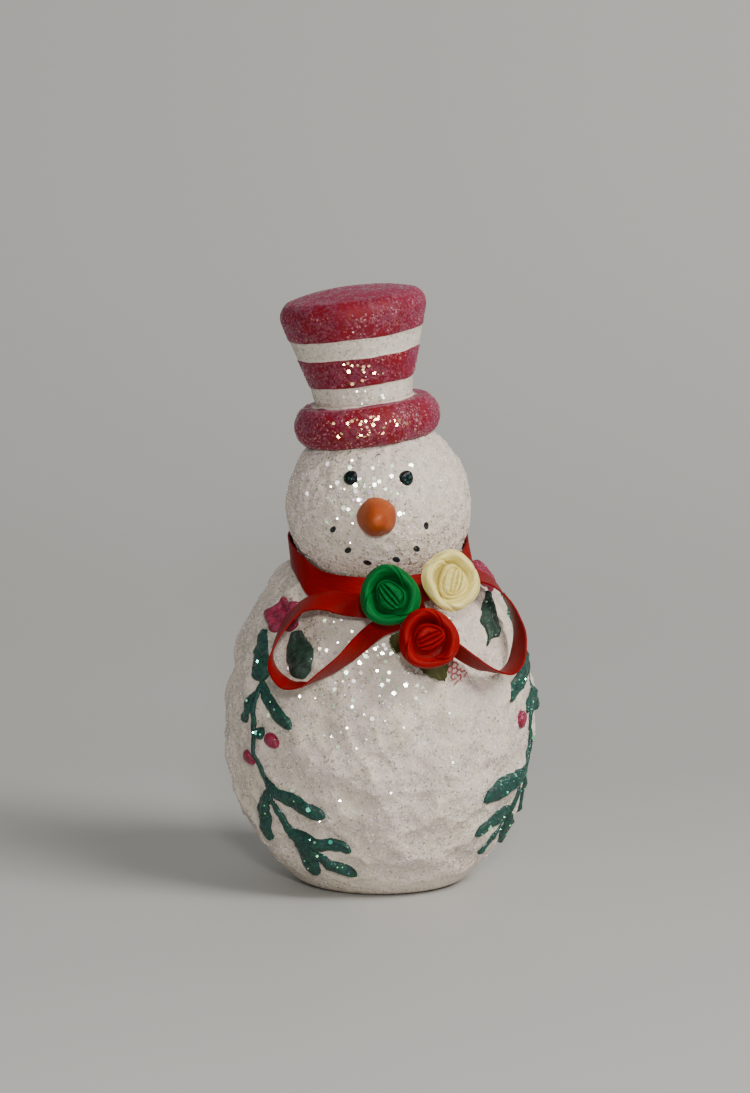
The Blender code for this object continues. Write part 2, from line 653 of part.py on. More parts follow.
class Sprig:
    """The raised decoration on one side of the body."""

    def __init__(self, label, surface):
        self.label, self.surface = label, surface
        self.side = -1 if label == "left" else 1

    def place(self, spot):
        """The azimuth and height of a spot."""
        toward_front, height = spot
        return SPRIG_AZIMUTHS[self.label] - self.side * toward_front, height * MM

    def ridge(self, name, spots, widths, rise, gap=RELIEF_GAP):
        """A raised stroke through the spots: its underside on the body, its top rounded."""
        places = [self.place(spot) for spot in spots]
        middles = [body_point(*place) for place in places]
        rings = []
        for k, place in enumerate(places):
            before, after = middles[max(0, k - 1)], middles[min(len(middles) - 1, k + 1)]
            outward = body_normal(*place)
            across = (after - before).normalized().cross(outward) * widths[k] / 2 * MM
            crown = gap + rise * min(1.0, 0.45 + widths[k] * 0.2)
            shoulder = gap + 0.8 * (crown - gap)
            section = ((-1.0, gap), (1.0, gap), (0.7, shoulder), (0.0, crown), (-0.7, shoulder))
            rings.append([self.surface.seat(middles[k] + across * x, outward, lift) for x, lift in section])
        return solid(name, *lofted(rings), "sprig_green")

    def leaf(self, name, foot, tip, width, bow_out=0.0, gap=RELIEF_GAP, steps=5):
        """A club-shaped leaf, narrow at its foot and widest two thirds out."""
        foot, tip = np.array(foot), np.array(tip)
        length = tip - foot
        across = np.array([length[1] / MM_PER_DEGREE, -length[0] * MM_PER_DEGREE])
        spots, widths = [], []
        for k in range(steps):
            share = k / (steps - 1)
            spots.append(foot + length * share + across * bow_out * math.sin(math.pi * share))
            widths.append(width * math.sin(math.pi * (0.12 + 0.8 * share**1.25)) ** 0.9)
        return self.ridge(name, spots, widths, LEAF_RISE, gap)

    def dome(self, name, spot, edge, outline, rise, columns):
        """A raised button at a spot."""
        place = self.place(spot)
        return seated_dome(
            name, self.surface, body_point(*place), body_normal(*place), edge, outline, rise, columns,
            "blossom_red",
        )


def oval_edge(half_width, half_height, turn):
    """Radius of an oval at a turn."""
    return half_width * half_height / math.hypot(half_height * math.cos(turn), half_width * math.sin(turn))


def mistletoe(sprig):
    """A stem with its leaves and the bud cup that holds a berry, as one relief."""
    stations = smooth_through(STEMS[sprig.label], 2)
    spots, widths = [station[:2] for station in stations], [station[2] for station in stations]
    stem = sprig.ridge("sprig_" + sprig.label, spots, widths, STEM_RISE)
    parts = []
    for k, (foot, tip, width, bend) in enumerate(SPRIG_LEAVES[sprig.label]):
        gap = RELIEF_GAP + STEP_UP * (1 + k % 5)
        parts.append(sprig.leaf(f"sprig_leaf_{sprig.label}_{k}", foot, tip, width, bend, gap))
    join_to(stem, parts)


def berries(sprig):
    """Each oval berry of the sprig."""
    for name, (label, spot, half_length, half_width, turned) in BERRIES.items():
        if label != sprig.label:
            continue

        def edge(turn, half_length=half_length, half_width=half_width, turned=turned):
            return oval_edge(half_length, half_width, turn + sprig.side * math.radians(turned))

        sprig.dome(name, spot, edge, BUTTON_OUTLINE, BERRY_RISE, 10)


def blossom(sprig):
    """An oval of five petals."""

    def petals(turn):
        lobes = 0.86 + 0.14 * math.cos(5 * turn + 0.6)
        return oval_edge(BLOSSOM_HALF_WIDTH, BLOSSOM_HALF_HEIGHT, turn) * lobes

    name = "blossom_" + sprig.label
    sprig.dome(name, BLOSSOM_SPOTS[sprig.label], petals, BLOSSOM_OUTLINE, BLOSSOM_RISE, 20)


def holly_leaf(sprig):
    """The broad leaf below the blossom."""
    foot, tip, width = HOLLY_LEAVES[sprig.label]
    sprig.leaf("holly_leaf_" + sprig.label, foot, tip, width, steps=8)


def main():
    """Builds every piece, the body and head first because the others sit on them."""
    clear_scene()
    body = snow_body()
    ball = head()
    hat()
    body_surface, head_surface = Surface(body), Surface(ball)
    nose(head_surface)
    eyes(head_surface)
    neck_ribbon()
    bow()
    for name, middle, facing, turn_on in ROSES:
        rose(name, middle, facing, turn_on)
    for name, foot_place, tip_place, width in RIBBON_LEAVES:
        ribbon_leaf(name, foot_place, tip_place, width)
    net_scrap()
    for label in SPRIG_AZIMUTHS:
        sprig = Sprig(label, body_surface)
        mistletoe(sprig)
        berries(sprig)
        blossom(sprig)
        holly_leaf(sprig)


main()
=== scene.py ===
"""The looks of the standing snowman figurine: hammered and glittered snow, a striped glitter hat,
satin ribbon and ribbon roses, and sprigs of raised glitter paint.

Shapes are worked out in millimetres, with +Z up and the face along -Y, and are scaled to metres
when they become meshes. Azimuth is measured in degrees round the figure from the face.
"""

import math

import bpy
import numpy as np
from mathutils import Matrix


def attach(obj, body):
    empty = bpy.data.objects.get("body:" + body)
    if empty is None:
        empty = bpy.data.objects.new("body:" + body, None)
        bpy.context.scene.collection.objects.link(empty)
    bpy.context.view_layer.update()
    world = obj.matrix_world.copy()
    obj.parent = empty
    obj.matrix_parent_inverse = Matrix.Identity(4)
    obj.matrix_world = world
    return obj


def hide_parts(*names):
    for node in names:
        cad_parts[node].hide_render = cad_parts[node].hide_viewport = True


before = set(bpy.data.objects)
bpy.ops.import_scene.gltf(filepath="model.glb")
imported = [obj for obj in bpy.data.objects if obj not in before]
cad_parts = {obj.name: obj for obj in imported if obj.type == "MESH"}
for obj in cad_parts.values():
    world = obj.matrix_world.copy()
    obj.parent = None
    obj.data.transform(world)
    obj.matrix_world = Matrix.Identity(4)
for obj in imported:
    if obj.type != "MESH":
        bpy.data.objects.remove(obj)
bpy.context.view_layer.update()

MM = 0.001

# Snow body and head, as the solids have them
BODY_RADIUS, BODY_HALF_HEIGHT, BODY_CENTRE_Z = 30.4, 38.7, 33.2
BASE_EDGE = ((13.6, 0.0), (15.3, 0.4), (16.8, 1.1))
WALL_START_Z = 2.0
HEAD_RADIUS = 18.0
HEAD_CENTRE = np.array([-0.4, -6.5, 76.0])
BODY_LUMP, HEAD_LUMP = 0.6, 0.2
# The body is fuller low on its left: how much, and the azimuth and height of the middle of it
FULLER, FULLER_AZIMUTH, FULLER_Z, FULLER_SPREAD = 1.1, -95.0, 19.0, 9.0
GAP = 0.32
DISH_RADIUS = HEAD_RADIUS + HEAD_LUMP / 2 + GAP

# Hammered dents over the lumps: how many, how deep, and how far the finest ripple rises
BODY_DENTS, BODY_DENT_DEPTH = 520, 0.62
HEAD_DENTS, HEAD_DENT_DEPTH = 420, 0.27
RIPPLE = 0.07

# Hat, in radius and height above the middle of its brim
HAT_TIP_LEFT, HAT_TIP_FORWARD = math.radians(7.5), math.radians(4.6)
BRIM_UP = 17.1
BRIM_RING_RADIUS, BRIM_HALF_THICKNESS = 9.9, 4.4
CROWN_SIDE = ((9.7, 3.9), (9.95, 5.8), (10.35, 8.0), (12.0, 13.6), (13.25, 17.6))
CROWN_TOP_RADIUS, CROWN_SHOULDER, SHOULDER_HEIGHT = 14.2, 3.3, 21.6
CROWN_TOP = ((8.8, 25.4), (5.0, 25.9), (2.0, 26.1), (0.4, 26.1))
STRIPES = ((3.9, 7.9), (13.5, 17.3))
STRIPE_DEPTH, STRIPE_FADE = 0.18, 0.08

# Face
NOSE_RADIUS, NOSE_LENGTH = 3.7, 6.6
NOSE_WAY = np.array([-0.02, -1.0, -0.03])
EYE_RADIUS, EYE_RISE, EYE_ELEVATION = 1.4, 0.6, 22.0
EYE_AZIMUTHS = {"left": -18.5, "right": 18.5}
# Each painted dot of the smile: azimuth and elevation on the head, and the slope of its long side
SMILE = (
    (-29.1, -10.0, -40.0), (-21.0, -23.7, -35.0), (-8.1, -32.2, 15.0),
    (12.5, -30.0, 25.0), (25.8, -22.5, 40.0), (30.9, -7.9, 60.0),
)

# Ribbon round the neck: its lift off the smooth snow, and azimuth and height of its lower edge
RIBBON_WIDTH, RIBBON_THICKNESS, RIBBON_CUP = 6.2, 0.34, 0.12
NECK_LIFT = 0.9
NECK_LOW_EDGE = (
    (-180.0, 67.6), (-130.0, 67.0), (-90.0, 65.9), (-63.0, 64.0), (-48.0, 62.0), (-35.0, 59.4),
    (-15.0, 58.6), (10.0, 58.6), (35.0, 60.0), (60.0, 62.8), (85.0, 65.5), (130.0, 67.0), (180.0, 67.6),
)
# Bow loops: azimuth, height and lean of the middle line, from the knot out and back. Points are
# spaced along it with degrees of azimuth and lean weighed against millimetres of height
LOOP_ROUTES = {
    "left": (
        (8.0, 58.0, -80.0), (-3.0, 57.0, -78.0), (-13.0, 57.2, -56.0), (-23.5, 57.4, -26.0),
        (-32.6, 56.2, -12.0), (-38.0, 52.9, -6.0), (-40.2, 49.8, -2.0), (-40.0, 47.2, 2.0),
        (-36.8, 44.7, 12.0), (-31.6, 43.1, 10.0), (-25.5, 43.3, -6.0), (-19.5, 45.2, -20.0),
        (-13.0, 47.9, -30.0), (-7.0, 51.0, -50.0), (-1.0, 53.4, -72.0), (7.0, 54.8, -80.0),
    ),
    "right": (
        (11.0, 58.2, -62.0), (24.0, 59.9, -50.0), (37.5, 61.0, -30.0), (49.5, 60.8, -14.0),
        (58.5, 59.1, -4.0), (62.0, 55.8, 8.0), (61.2, 52.0, 16.0), (57.8, 48.8, 22.0),
        (52.3, 45.8, 18.0), (46.0, 44.5, 0.0), (39.0, 45.2, -18.0), (32.5, 47.3, -30.0),
        (25.5, 50.3, -40.0), (18.5, 53.0, -52.0), (11.0, 54.6, -62.0),
    ),
}
ROUTE_WEIGHTS = np.array([0.5, 1.0, 0.1])
LOOP_LIFT, GATHERED_LIFT, GATHERED_WIDTH, GATHERED_SHARE = 4.0, 2.4, 3.4, 0.3
KNOT_PLACE, KNOT_SIZE = (9.0, 56.4, 2.6), (9.0, 2.2, 5.4)

# Roses: middle, the way each faces, slope of the slits in its bud, corners of its outline, how far
# the bud is off the middle to the right and up, and the way from the bud to the deepest of its moat
ROSES = {
    "green": ((1.75, -31.3, 61.2), (-0.14, -1.0, 0.22), -48.0, 3, (0.25, -0.1), 165.0),
    "cream": ((13.1, -28.0, 63.6), (0.30, -1.0, 0.32), 72.0, 4, (0.35, -0.2), 140.0),
    "red": ((8.9, -33.9, 53.45), (0.10, -1.0, 0.08), 24.0, 3, (0.0, 0.2), 50.0),
}
# Rose outline in distances from its middle and heights: the back, and the sizes of bud and lip
ROSE_RADIUS, ROSE_BUD_LONG, ROSE_BUD_WIDE = 5.75, 3.5, 2.9
ROSE_LIP_HEIGHT, ROSE_BUD_HEIGHT = 1.9, 2.35
ROSE_BACK = ((5.6, 0.4), (5.3, -0.9), (4.4, -2.3), (3.4, -3.3), (1.0, -3.35))

# Satin leaves under the roses: azimuth, height and lift of foot and tip, and width. The net has
# its azimuth and height at foot and tip, and its own length before it is laid between them
RIBBON_LEAVES = {
    "green": ((8.5, 53.2, 0.95), (6.0, 49.5, 1.3), 4.2),
    "red": ((16.6, 50.6, 1.5), (23.0, 44.1, 1.9), 6.5),
}
NET_FOOT, NET_TIP = (26.4, 48.2), (30.5, 44.2)
NET_LENGTH, NET_CELL, NET_THREAD_RADIUS = 7.2, 0.8, 0.15

# Raised decoration: spots are degrees towards the front of the sprig's azimuth, and height
SPRIG_AZIMUTHS = {"left": -53.0, "right": 78.0}
MM_PER_DEGREE = 0.53
STEM_RISE, LEAF_RISE, BLOSSOM_RISE, BERRY_RISE = 0.8, 0.85, 1.15, 1.1
# Each stem: spots along it, with its width there
STEMS = {
    "left": (
        (0.6, 44.0, 1.1), (0.1, 38.5, 1.1), (-0.4, 33.0, 1.2), (0.2, 28.5, 1.1), (3.4, 24.0, 1.6),
        (7.0, 18.3, 1.4), (13.0, 13.0, 1.8),
    ),
    "right": (
        (-0.8, 50.6, 1.5), (-5.6, 46.0, 1.7), (-3.5, 38.3, 1.8), (0.8, 34.0, 1.8), (0.6, 28.5, 1.8),
        (3.6, 24.8, 1.9), (6.8, 20.8, 1.5), (8.6, 15.6, 1.7),
    ),
}
# Each leaf on a stem: foot spot, tip spot, width, and sideways bow as a share of its length. The
# last one on each side reaches towards a berry
SPRIG_LEAVES = {
    "left": (
        ((-4.6, 52.2), (0.4, 43.0), 4.8, 0.0),
        ((0.8, 42.8), (19.4, 34.9), 3.0, 0.05),
        ((-0.2, 40.6), (-10.0, 34.6), 2.9, -0.05),
        ((3.9, 23.8), (31.0, 18.1), 3.6, 0.06),
        ((4.8, 21.6), (-4.8, 11.2), 4.2, 0.12),
        ((11.5, 14.2), (40.0, 11.0), 2.6, 0.05),
        ((12.4, 13.4), (40.6, 5.4), 2.8, 0.05),
        ((12.2, 13.6), (15.4, 4.6), 4.4, -0.06),
        ((-0.2, 33.2), (5.6, 33.0), 2.3, 0.0),
    ),
    "right": (
        ((-13.5, 57.0), (-0.4, 49.8), 4.4, 0.0),
        ((-6.6, 47.0), (21.4, 38.8), 3.2, -0.02),
        ((-4.8, 40.6), (-14.0, 34.6), 2.9, -0.05),
        ((3.2, 24.4), (34.4, 19.9), 3.7, -0.05),
        ((2.4, 24.0), (-4.6, 14.4), 2.4, 0.1),
        ((7.6, 16.6), (34.0, 13.1), 2.8, -0.03),
        ((7.2, 15.4), (22.0, 7.8), 2.4, -0.03),
        ((7.0, 15.2), (-1.8, 8.9), 3.6, 0.06),
        ((-3.4, 39.4), (8.4, 35.8), 2.4, 0.0),
    ),
}
# Each berry: side, spot, half length and half width, and how far its length is turned from level
BERRIES = {
    "berry_left_upper": ("left", (9.4, 32.0), 1.75, 1.3, 40.0),
    "berry_left_lower": ("left", (-4.6, 27.7), 1.65, 1.35, 40.0),
    "berry_right": ("right", (12.2, 34.5), 1.75, 1.3, 100.0),
}
BLOSSOM_HALF_WIDTH, BLOSSOM_HALF_HEIGHT = 5.3, 3.7
BLOSSOM_SPOTS = {"left": (3.4, 55.4), "right": (-3.2, 61.7)}
# The broad leaf under each blossom: foot, tip, width, and how much its end thins to a tail
HOLLY_LEAVES = {
    "left": ((14.2, 52.9), (22.8, 44.4), 6.4, 0.0),
    "right": ((12.4, 58.6), (31.0, 49.6), 5.2, 0.75),
}
# The brightest glints on the sprigs: spots, and how wide each flake is
SPRIG_GLINTS = {
    "left": ((2.8, 33.2, 0.95), (25.0, 19.6, 1.0), (31.0, 12.6, 0.9)),
    "right": ((0.8, 30.0, 0.9), (27.0, 14.3, 1.1)),
}

# Flakes: how far the small ones stand off, how much they tilt, and half a flake's thickness
FLAKE_LIFT, FLAKE_TILT = 0.01, 0.2
FLAKE_HALF_THICKNESS = 0.05
# Cells of the fine glitter in the paint, in metres
FINE_GLITTER = 0.36 * MM

# Floor, in metres: distance behind the figure and height
FLOOR_PROFILE = (
    (-2.0, 0.0), (-1.0, 0.0), (0.0, 0.0), (0.22, 0.0), (0.42, 0.05), (0.52, 0.2), (0.55, 0.6), (0.55, 1.6),
)

# Towards the viewer, straight up, and the way that glints face: between camera and small light
VIEWER = np.array([0.0, -1.0, 0.0])
UP = np.array([0.0, 0.0, 1.0])
GLINT_WAY = np.array([0.03, -0.977, 0.21])


def unit(vectors):
    """The vectors at length one."""
    return vectors / np.linalg.norm(vectors, axis=-1, keepdims=True)


def ease(value):
    """0 below 0, 1 above 1, and a smooth S between."""
    share = np.clip(value, 0.0, 1.0)
    return share * share * (3.0 - 2.0 * share)


def smooth_line(points, count):
    """Evenly spaced rows along the Catmull-Rom curve through the points, which bends through each
    with the slope from its neighbour before to its neighbour after."""
    knots = np.array(points, float)
    knots = np.vstack([2 * knots[0] - knots[1], knots, 2 * knots[-1] - knots[-2]])
    before, start, stop, after = knots[:-3], knots[1:-2], knots[2:-1], knots[3:]
    t = np.linspace(0, 1, 24, endpoint=False)[None, :, None]
    before, start, stop, after = (k[:, None, :] for k in (before, start, stop, after))
    bend = before - 2.5 * start + 2 * stop - after / 2
    twist = 1.5 * (start - stop) + (after - before) / 2
    curve = start + (stop - before) / 2 * t + bend * t**2 + twist * t**3
    curve = np.vstack([curve.reshape(-1, knots.shape[1]), knots[-2]])
    walked = np.append(0.0, np.cumsum(np.linalg.norm(np.diff(curve, axis=0), axis=1)))
    places = np.linspace(0, walked[-1], count)
    return np.stack([np.interp(places, walked, column) for column in curve.T], -1)


def waves(seed, shortest, longest, count=22):
    """Wave vectors and phases of plane waves in every direction."""
    draw = np.random.default_rng(seed)
    heading = unit(draw.normal(size=(count, 3)))
    wavelength = draw.uniform(shortest, longest, count)
    return heading * (2 * math.pi / wavelength)[:, None], draw.uniform(0, 2 * math.pi, count)


def swell(points, ripples):
    """The sum of the plane waves at the points, about -1 to 1."""
    vectors, phases = ripples
    total = np.zeros(points.shape[:-1])
    for vector, phase in zip(vectors, phases):
        total += np.sin(points @ vector + phase)
    return np.tanh(0.9 * total / math.sqrt(len(phases)))


def around(azimuth):
    """Level directions at azimuths in degrees."""
    turn = np.radians(azimuth)
    return np.stack([np.sin(turn), -np.cos(turn), np.zeros_like(turn)], -1)


def body_radius(z):
    """Radius of the smooth ellipsoid at a height."""
    share = (z - BODY_CENTRE_Z) / BODY_HALF_HEIGHT
    return BODY_RADIUS * np.sqrt(np.clip(1.0 - share * share, 0.0, 1.0))


def body_normal(azimuth, z):
    """Directions straight out of the ellipsoid: its gradient, made unit length."""
    level = around(azimuth) * (body_radius(z) / BODY_RADIUS**2)[..., None]
    return unit(level + UP * ((z - BODY_CENTRE_Z) / BODY_HALF_HEIGHT**2)[..., None])


def body_plain(azimuth, z, lift=0.0):
    """Points of the smooth ellipsoid at azimuths and heights, moved out along its normal."""
    azimuth, z = np.asarray(azimuth, float), np.asarray(z, float)
    foot = around(azimuth) * body_radius(z)[..., None] + UP * z[..., None]
    return foot + body_normal(azimuth, z) * np.asarray(lift)[..., None]


def spread(count, seed):
    """Directions spread evenly over a ball on a golden spiral, each shaken a little."""
    step = np.arange(count) + 0.5
    height = 1 - 2 * step / count
    turn = math.pi * (1 + 5**0.5) * step
    level = np.sqrt(1 - height**2)
    even = np.stack([level * np.cos(turn), level * np.sin(turn), height], -1)
    draw = np.random.default_rng(seed)
    return unit(even + draw.normal(size=even.shape) * 0.55 / math.sqrt(count)), draw


def dents(points, centres, reach, sharpness=7.0):
    """Height of a hammered surface: a shallow bowl round every centre, and where bowls meet, the
    lowest of them through a soft minimum, which leaves a narrow ridge between neighbours. The
    points are first swayed about by waves, which makes the bowls uneven."""
    flat = points.reshape(-1, 3)
    flat = flat + 0.9 * np.stack([swell(flat, ripples) for ripples in WARPS], -1)
    found = np.zeros(len(flat))
    for start in range(0, len(flat), 8192):
        block = flat[start : start + 8192]
        square = ((block[:, None, :] - centres[None]) ** 2).sum(-1) / reach**2
        found[start : start + 8192] = -np.log(np.exp(-sharpness * square).sum(1) + 1e-12) / sharpness
    return np.clip(found, -0.2, 1.2).reshape(points.shape[:-1]) - 0.45


# The snow's lumps, the sway of its dents, its ripple, and the middle and size of every dent
BODY_WAVES, HEAD_WAVES = waves(11, 8.5, 14.0), waves(23, 7.0, 13.0)
WARPS = [waves(seed, 2.6, 7.0) for seed in (41, 42, 43)]
RIPPLES = waves(37, 1.6, 3.4, 40)
BODY_SPREAD, BODY_DRAW = spread(BODY_DENTS, 5)
BODY_CENTRES = BODY_SPREAD * [BODY_RADIUS, BODY_RADIUS, BODY_HALF_HEIGHT] + [0, 0, BODY_CENTRE_Z]
BODY_REACH = BODY_DRAW.uniform(2.3, 4.0, BODY_DENTS)
HEAD_SPREAD, HEAD_DRAW = spread(HEAD_DENTS, 6)
HEAD_CENTRES = HEAD_SPREAD * HEAD_RADIUS + HEAD_CENTRE
HEAD_REACH = HEAD_DRAW.uniform(1.2, 2.2, HEAD_DENTS)


def crease_heights(azimuth):
    """Heights where the outside of the body meets the dish under the head: at each azimuth the
    lowest of many points up the ellipsoid that is inside the dish's ball."""
    heights = np.linspace(HEAD_CENTRE[2] - HEAD_RADIUS, BODY_CENTRE_Z + BODY_HALF_HEIGHT, 1200)
    points = body_plain(azimuth[:, None], heights[None])
    inside = np.linalg.norm(points - HEAD_CENTRE, axis=-1) <= DISH_RADIUS
    return heights[inside.argmax(1)]


# The crease at every degree, and the angle up the ellipsoid at which the wall starts
RIM_AZIMUTH = np.arange(360.0)
RIM_Z = crease_heights(RIM_AZIMUTH)
WALL_START = math.asin((WALL_START_Z - BODY_CENTRE_Z) / BODY_HALF_HEIGHT)


def wall_stop(azimuth):
    """The angle up the ellipsoid at which the wall ends, whose sine is the height."""
    z = np.interp(azimuth, RIM_AZIMUTH, RIM_Z, period=360)
    return np.arcsin((z - BODY_CENTRE_Z) / BODY_HALF_HEIGHT)


def lumps(plain, lumpiness):
    """The solids' own lumps, whose hollows are sharper than their tops."""
    height = swell(plain, lumpiness)
    return height - 0.25 * np.abs(height)


def body_relief(azimuth, z):
    """How far the finished snow stands off the smooth ellipsoid, and its share of that from the
    hammering alone: the lumps, the dents and a fine ripple, all faded out at base and neck."""
    plain = body_plain(azimuth, z)
    angle = np.arcsin(np.clip((z - BODY_CENTRE_Z) / BODY_HALF_HEIGHT, -1, 1))
    share = (angle - WALL_START) / (wall_stop(azimuth) - WALL_START)
    lump_fade = np.clip(np.minimum(8.0 * share, 5.0 * (1.0 - share)), 0.0, 1.0)
    fade = np.clip(np.minimum(8.0 * share, 12.0 * (1.0 - share)), 0.0, 1.0)
    hammered = dents(plain, BODY_CENTRES, BODY_REACH)
    fine = BODY_DENT_DEPTH * hammered + RIPPLE * swell(plain, RIPPLES)
    aside = ((azimuth - FULLER_AZIMUTH + 180) % 360 - 180) / 40.0
    fine = fine + FULLER * np.exp(-(aside**2) - ((z - FULLER_Z) / FULLER_SPREAD) ** 2)
    return lump_fade * BODY_LUMP * lumps(plain, BODY_WAVES) + fade * fine, fade * hammered


def on_body(azimuth, z, lift=0.0):
    """Points on the finished snow of the body, lifted off it along the ellipsoid's normal."""
    azimuth, z = np.broadcast_arrays(np.asarray(azimuth, float), np.asarray(z, float))
    return body_plain(azimuth, z, body_relief(azimuth, z)[0] + lift)


def seat_on_body(points, lift):
    """The points brought straight in or out to the body's snow, then lifted."""
    azimuth = np.degrees(np.arctan2(points[..., 0], -points[..., 1]))
    return on_body(azimuth, points[..., 2], lift)


def head_relief(outward):
    """How far the snow of the head stands off its ball in a direction, and the hammering alone."""
    plain = HEAD_CENTRE + outward * HEAD_RADIUS
    fade = np.clip((outward[..., 2] + 0.62) * 4.0, 0.0, 1.0)
    hammered = dents(plain, HEAD_CENTRES, HEAD_REACH)
    rise = HEAD_LUMP * lumps(plain, HEAD_WAVES) + HEAD_DENT_DEPTH * hammered
    rise = rise + RIPPLE * swell(plain, RIPPLES)
    return fade * rise, fade * hammered


def seat_on_head(points, lift):
    """The points brought straight in or out to the head's snow, then lifted."""
    outward = unit(points - HEAD_CENTRE)
    return HEAD_CENTRE + outward * (HEAD_RADIUS + head_relief(outward)[0] + lift)[..., None]


def head_outward(azimuth, elevation):
    """The direction from the middle of the head at an azimuth and elevation in degrees."""
    level = around(np.asarray(float(azimuth)))
    return level * math.cos(math.radians(elevation)) + UP * math.sin(math.radians(elevation))


def shell(grid, loop_rows=False, **marks):
    """Points, quads, triangles and marks of a closed skin over a grid whose columns run round it.
    Its first and last rows close on their middles, or on each other where the rows loop too. A
    negative volume shows that the faces point inwards, and then they are turned."""
    rows, columns = grid.shape[:2]
    points = grid.reshape(-1, 3)
    at = np.arange(rows * columns).reshape(rows, columns)
    right = np.roll(at, -1, axis=1)
    if loop_rows:
        quads = np.stack([at, right, np.roll(right, -1, axis=0), np.roll(at, -1, axis=0)], -1)
        triangles = np.zeros((0, 3), int)
        marks = {name: np.broadcast_to(value, (rows, columns)).ravel() for name, value in marks.items()}
    else:
        quads = np.stack([at[:-1], right[:-1], right[1:], at[1:]], -1)
        first, last = np.full(columns, rows * columns), np.full(columns, rows * columns + 1)
        first_fan = np.stack([right[0], at[0], first], -1)
        last_fan = np.stack([at[-1], right[-1], last], -1)
        triangles = np.vstack([first_fan, last_fan])
        points = np.vstack([points, grid[0].mean(0), grid[-1].mean(0)])
        full = {name: np.broadcast_to(value, (rows, columns)) for name, value in marks.items()}
        marks = {name: np.append(value, [value[0].mean(), value[-1].mean()]) for name, value in full.items()}
    quads = quads.reshape(-1, 4)
    corners = np.vstack([quads[:, [0, 1, 2]], quads[:, [0, 2, 3]], triangles])
    a, b, c = (points[corners[:, k]] for k in range(3))
    if np.einsum("ij,ij->i", a, np.cross(b, c)).sum() < 0:
        quads, triangles = quads[:, ::-1], triangles[:, ::-1]
    return points, quads, triangles, marks


def make(name, shells, finish, nodes=()):
    """One piece from its shells, in metres, riding on the root and standing for its nodes."""
    starts = np.cumsum([0] + [len(part[0]) for part in shells[:-1]])
    points = np.vstack([part[0] for part in shells]) * MM
    quads = np.vstack([part[1] + start for part, start in zip(shells, starts)])
    triangles = np.vstack([part[2] + start for part, start in zip(shells, starts)])
    mesh = bpy.data.meshes.new(name)
    mesh.vertices.add(len(points))
    mesh.vertices.foreach_set("co", points.astype(np.float32).ravel())
    corners = np.concatenate([quads.ravel(), triangles.ravel()]).astype(np.int32)
    mesh.loops.add(len(corners))
    mesh.loops.foreach_set("vertex_index", corners)
    sizes = np.concatenate([np.full(len(quads), 4), np.full(len(triangles), 3)])
    mesh.polygons.add(len(sizes))
    mesh.polygons.foreach_set("loop_start", (np.cumsum(sizes) - sizes).astype(np.int32))
    mesh.update(calc_edges=True)
    mesh.validate()
    for mark in shells[0][3]:
        layer = mesh.attributes.new(mark, "FLOAT", "POINT")
        values = np.concatenate([part[3][mark] for part in shells])
        layer.data.foreach_set("value", values.astype(np.float32))
    mesh.shade_smooth()
    mesh.set_sharp_from_angle(angle=math.radians(60))
    mesh.materials.append(finish)
    made = bpy.data.objects.new(name, mesh)
    bpy.context.scene.collection.objects.link(made)
    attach(made, "root")
    if nodes:
        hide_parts(*nodes)


class Recipe:
    """Adds nodes to one tree. An input may be a number, a colour or the output of another node."""

    def __init__(self, tree):
        self.tree = tree

    def add(self, kind, inputs=None, **settings):
        """A node of a kind, with its settings and its inputs fed."""
        node = self.tree.nodes.new(kind)
        for name, value in settings.items():
            setattr(node, name, value)
        for name, value in (inputs or {}).items():
            self.feed(node.inputs[name], value)
        return node

    def feed(self, socket, value):
        """Links an output to the socket, or gives the socket a plain value."""
        if isinstance(value, bpy.types.NodeSocket):
            self.tree.links.new(value, socket)
        elif isinstance(value, tuple) and len(value) == 3 and len(socket.default_value) == 4:
            socket.default_value = (*value, 1.0)
        else:
            socket.default_value = value

    def math(self, operation, *values):
        return self.add("ShaderNodeMath", dict(enumerate(values)), operation=operation).outputs[0]

    def vector(self, operation, *values):
        node = self.add("ShaderNodeVectorMath", dict(enumerate(values)), operation=operation)
        return node.outputs["Value" if operation in ("LENGTH", "DOT_PRODUCT") else "Vector"]

    def scaled(self, vector, factor):
        node = self.add("ShaderNodeVectorMath", {"Vector": vector, "Scale": factor}, operation="SCALE")
        return node.outputs["Vector"]

    def blend(self, share, first, second):
        """The first colour where the share is 0 and the second where it is 1."""
        node = self.add("ShaderNodeMix", data_type="RGBA")
        self.feed(node.inputs[0], share)
        self.feed(node.inputs[6], first)
        self.feed(node.inputs[7], second)
        return node.outputs[2]

    def stretch(self, value, low, high, to_low=0.0, to_high=1.0):
        """The value's range from low to high spread over another, and held at its ends."""
        inputs = {"Value": value, "From Min": low, "From Max": high, "To Min": to_low, "To Max": to_high}
        return self.add("ShaderNodeMapRange", inputs).outputs["Result"]

    def noise(self, place, size, detail=2.0):
        """Cloudy values about 0.5, in patches of the given size in metres."""
        inputs = {"Vector": place, "Scale": 1.0 / size, "Detail": detail}
        return self.add("ShaderNodeTexNoise", inputs).outputs[0]

    def place(self):
        """The point on the object."""
        return self.add("ShaderNodeTexCoord").outputs["Object"]

    def mark(self, name):
        """A value that the mesh carries at its points."""
        return self.add("ShaderNodeAttribute", attribute_name=name).outputs["Fac"]

    def group(self, tree, **inputs):
        """The outputs of a shared group, placed with its own values."""
        node = self.add("ShaderNodeGroup", node_tree=tree)
        for name, value in inputs.items():
            self.feed(node.inputs[name], value)
        return node.outputs


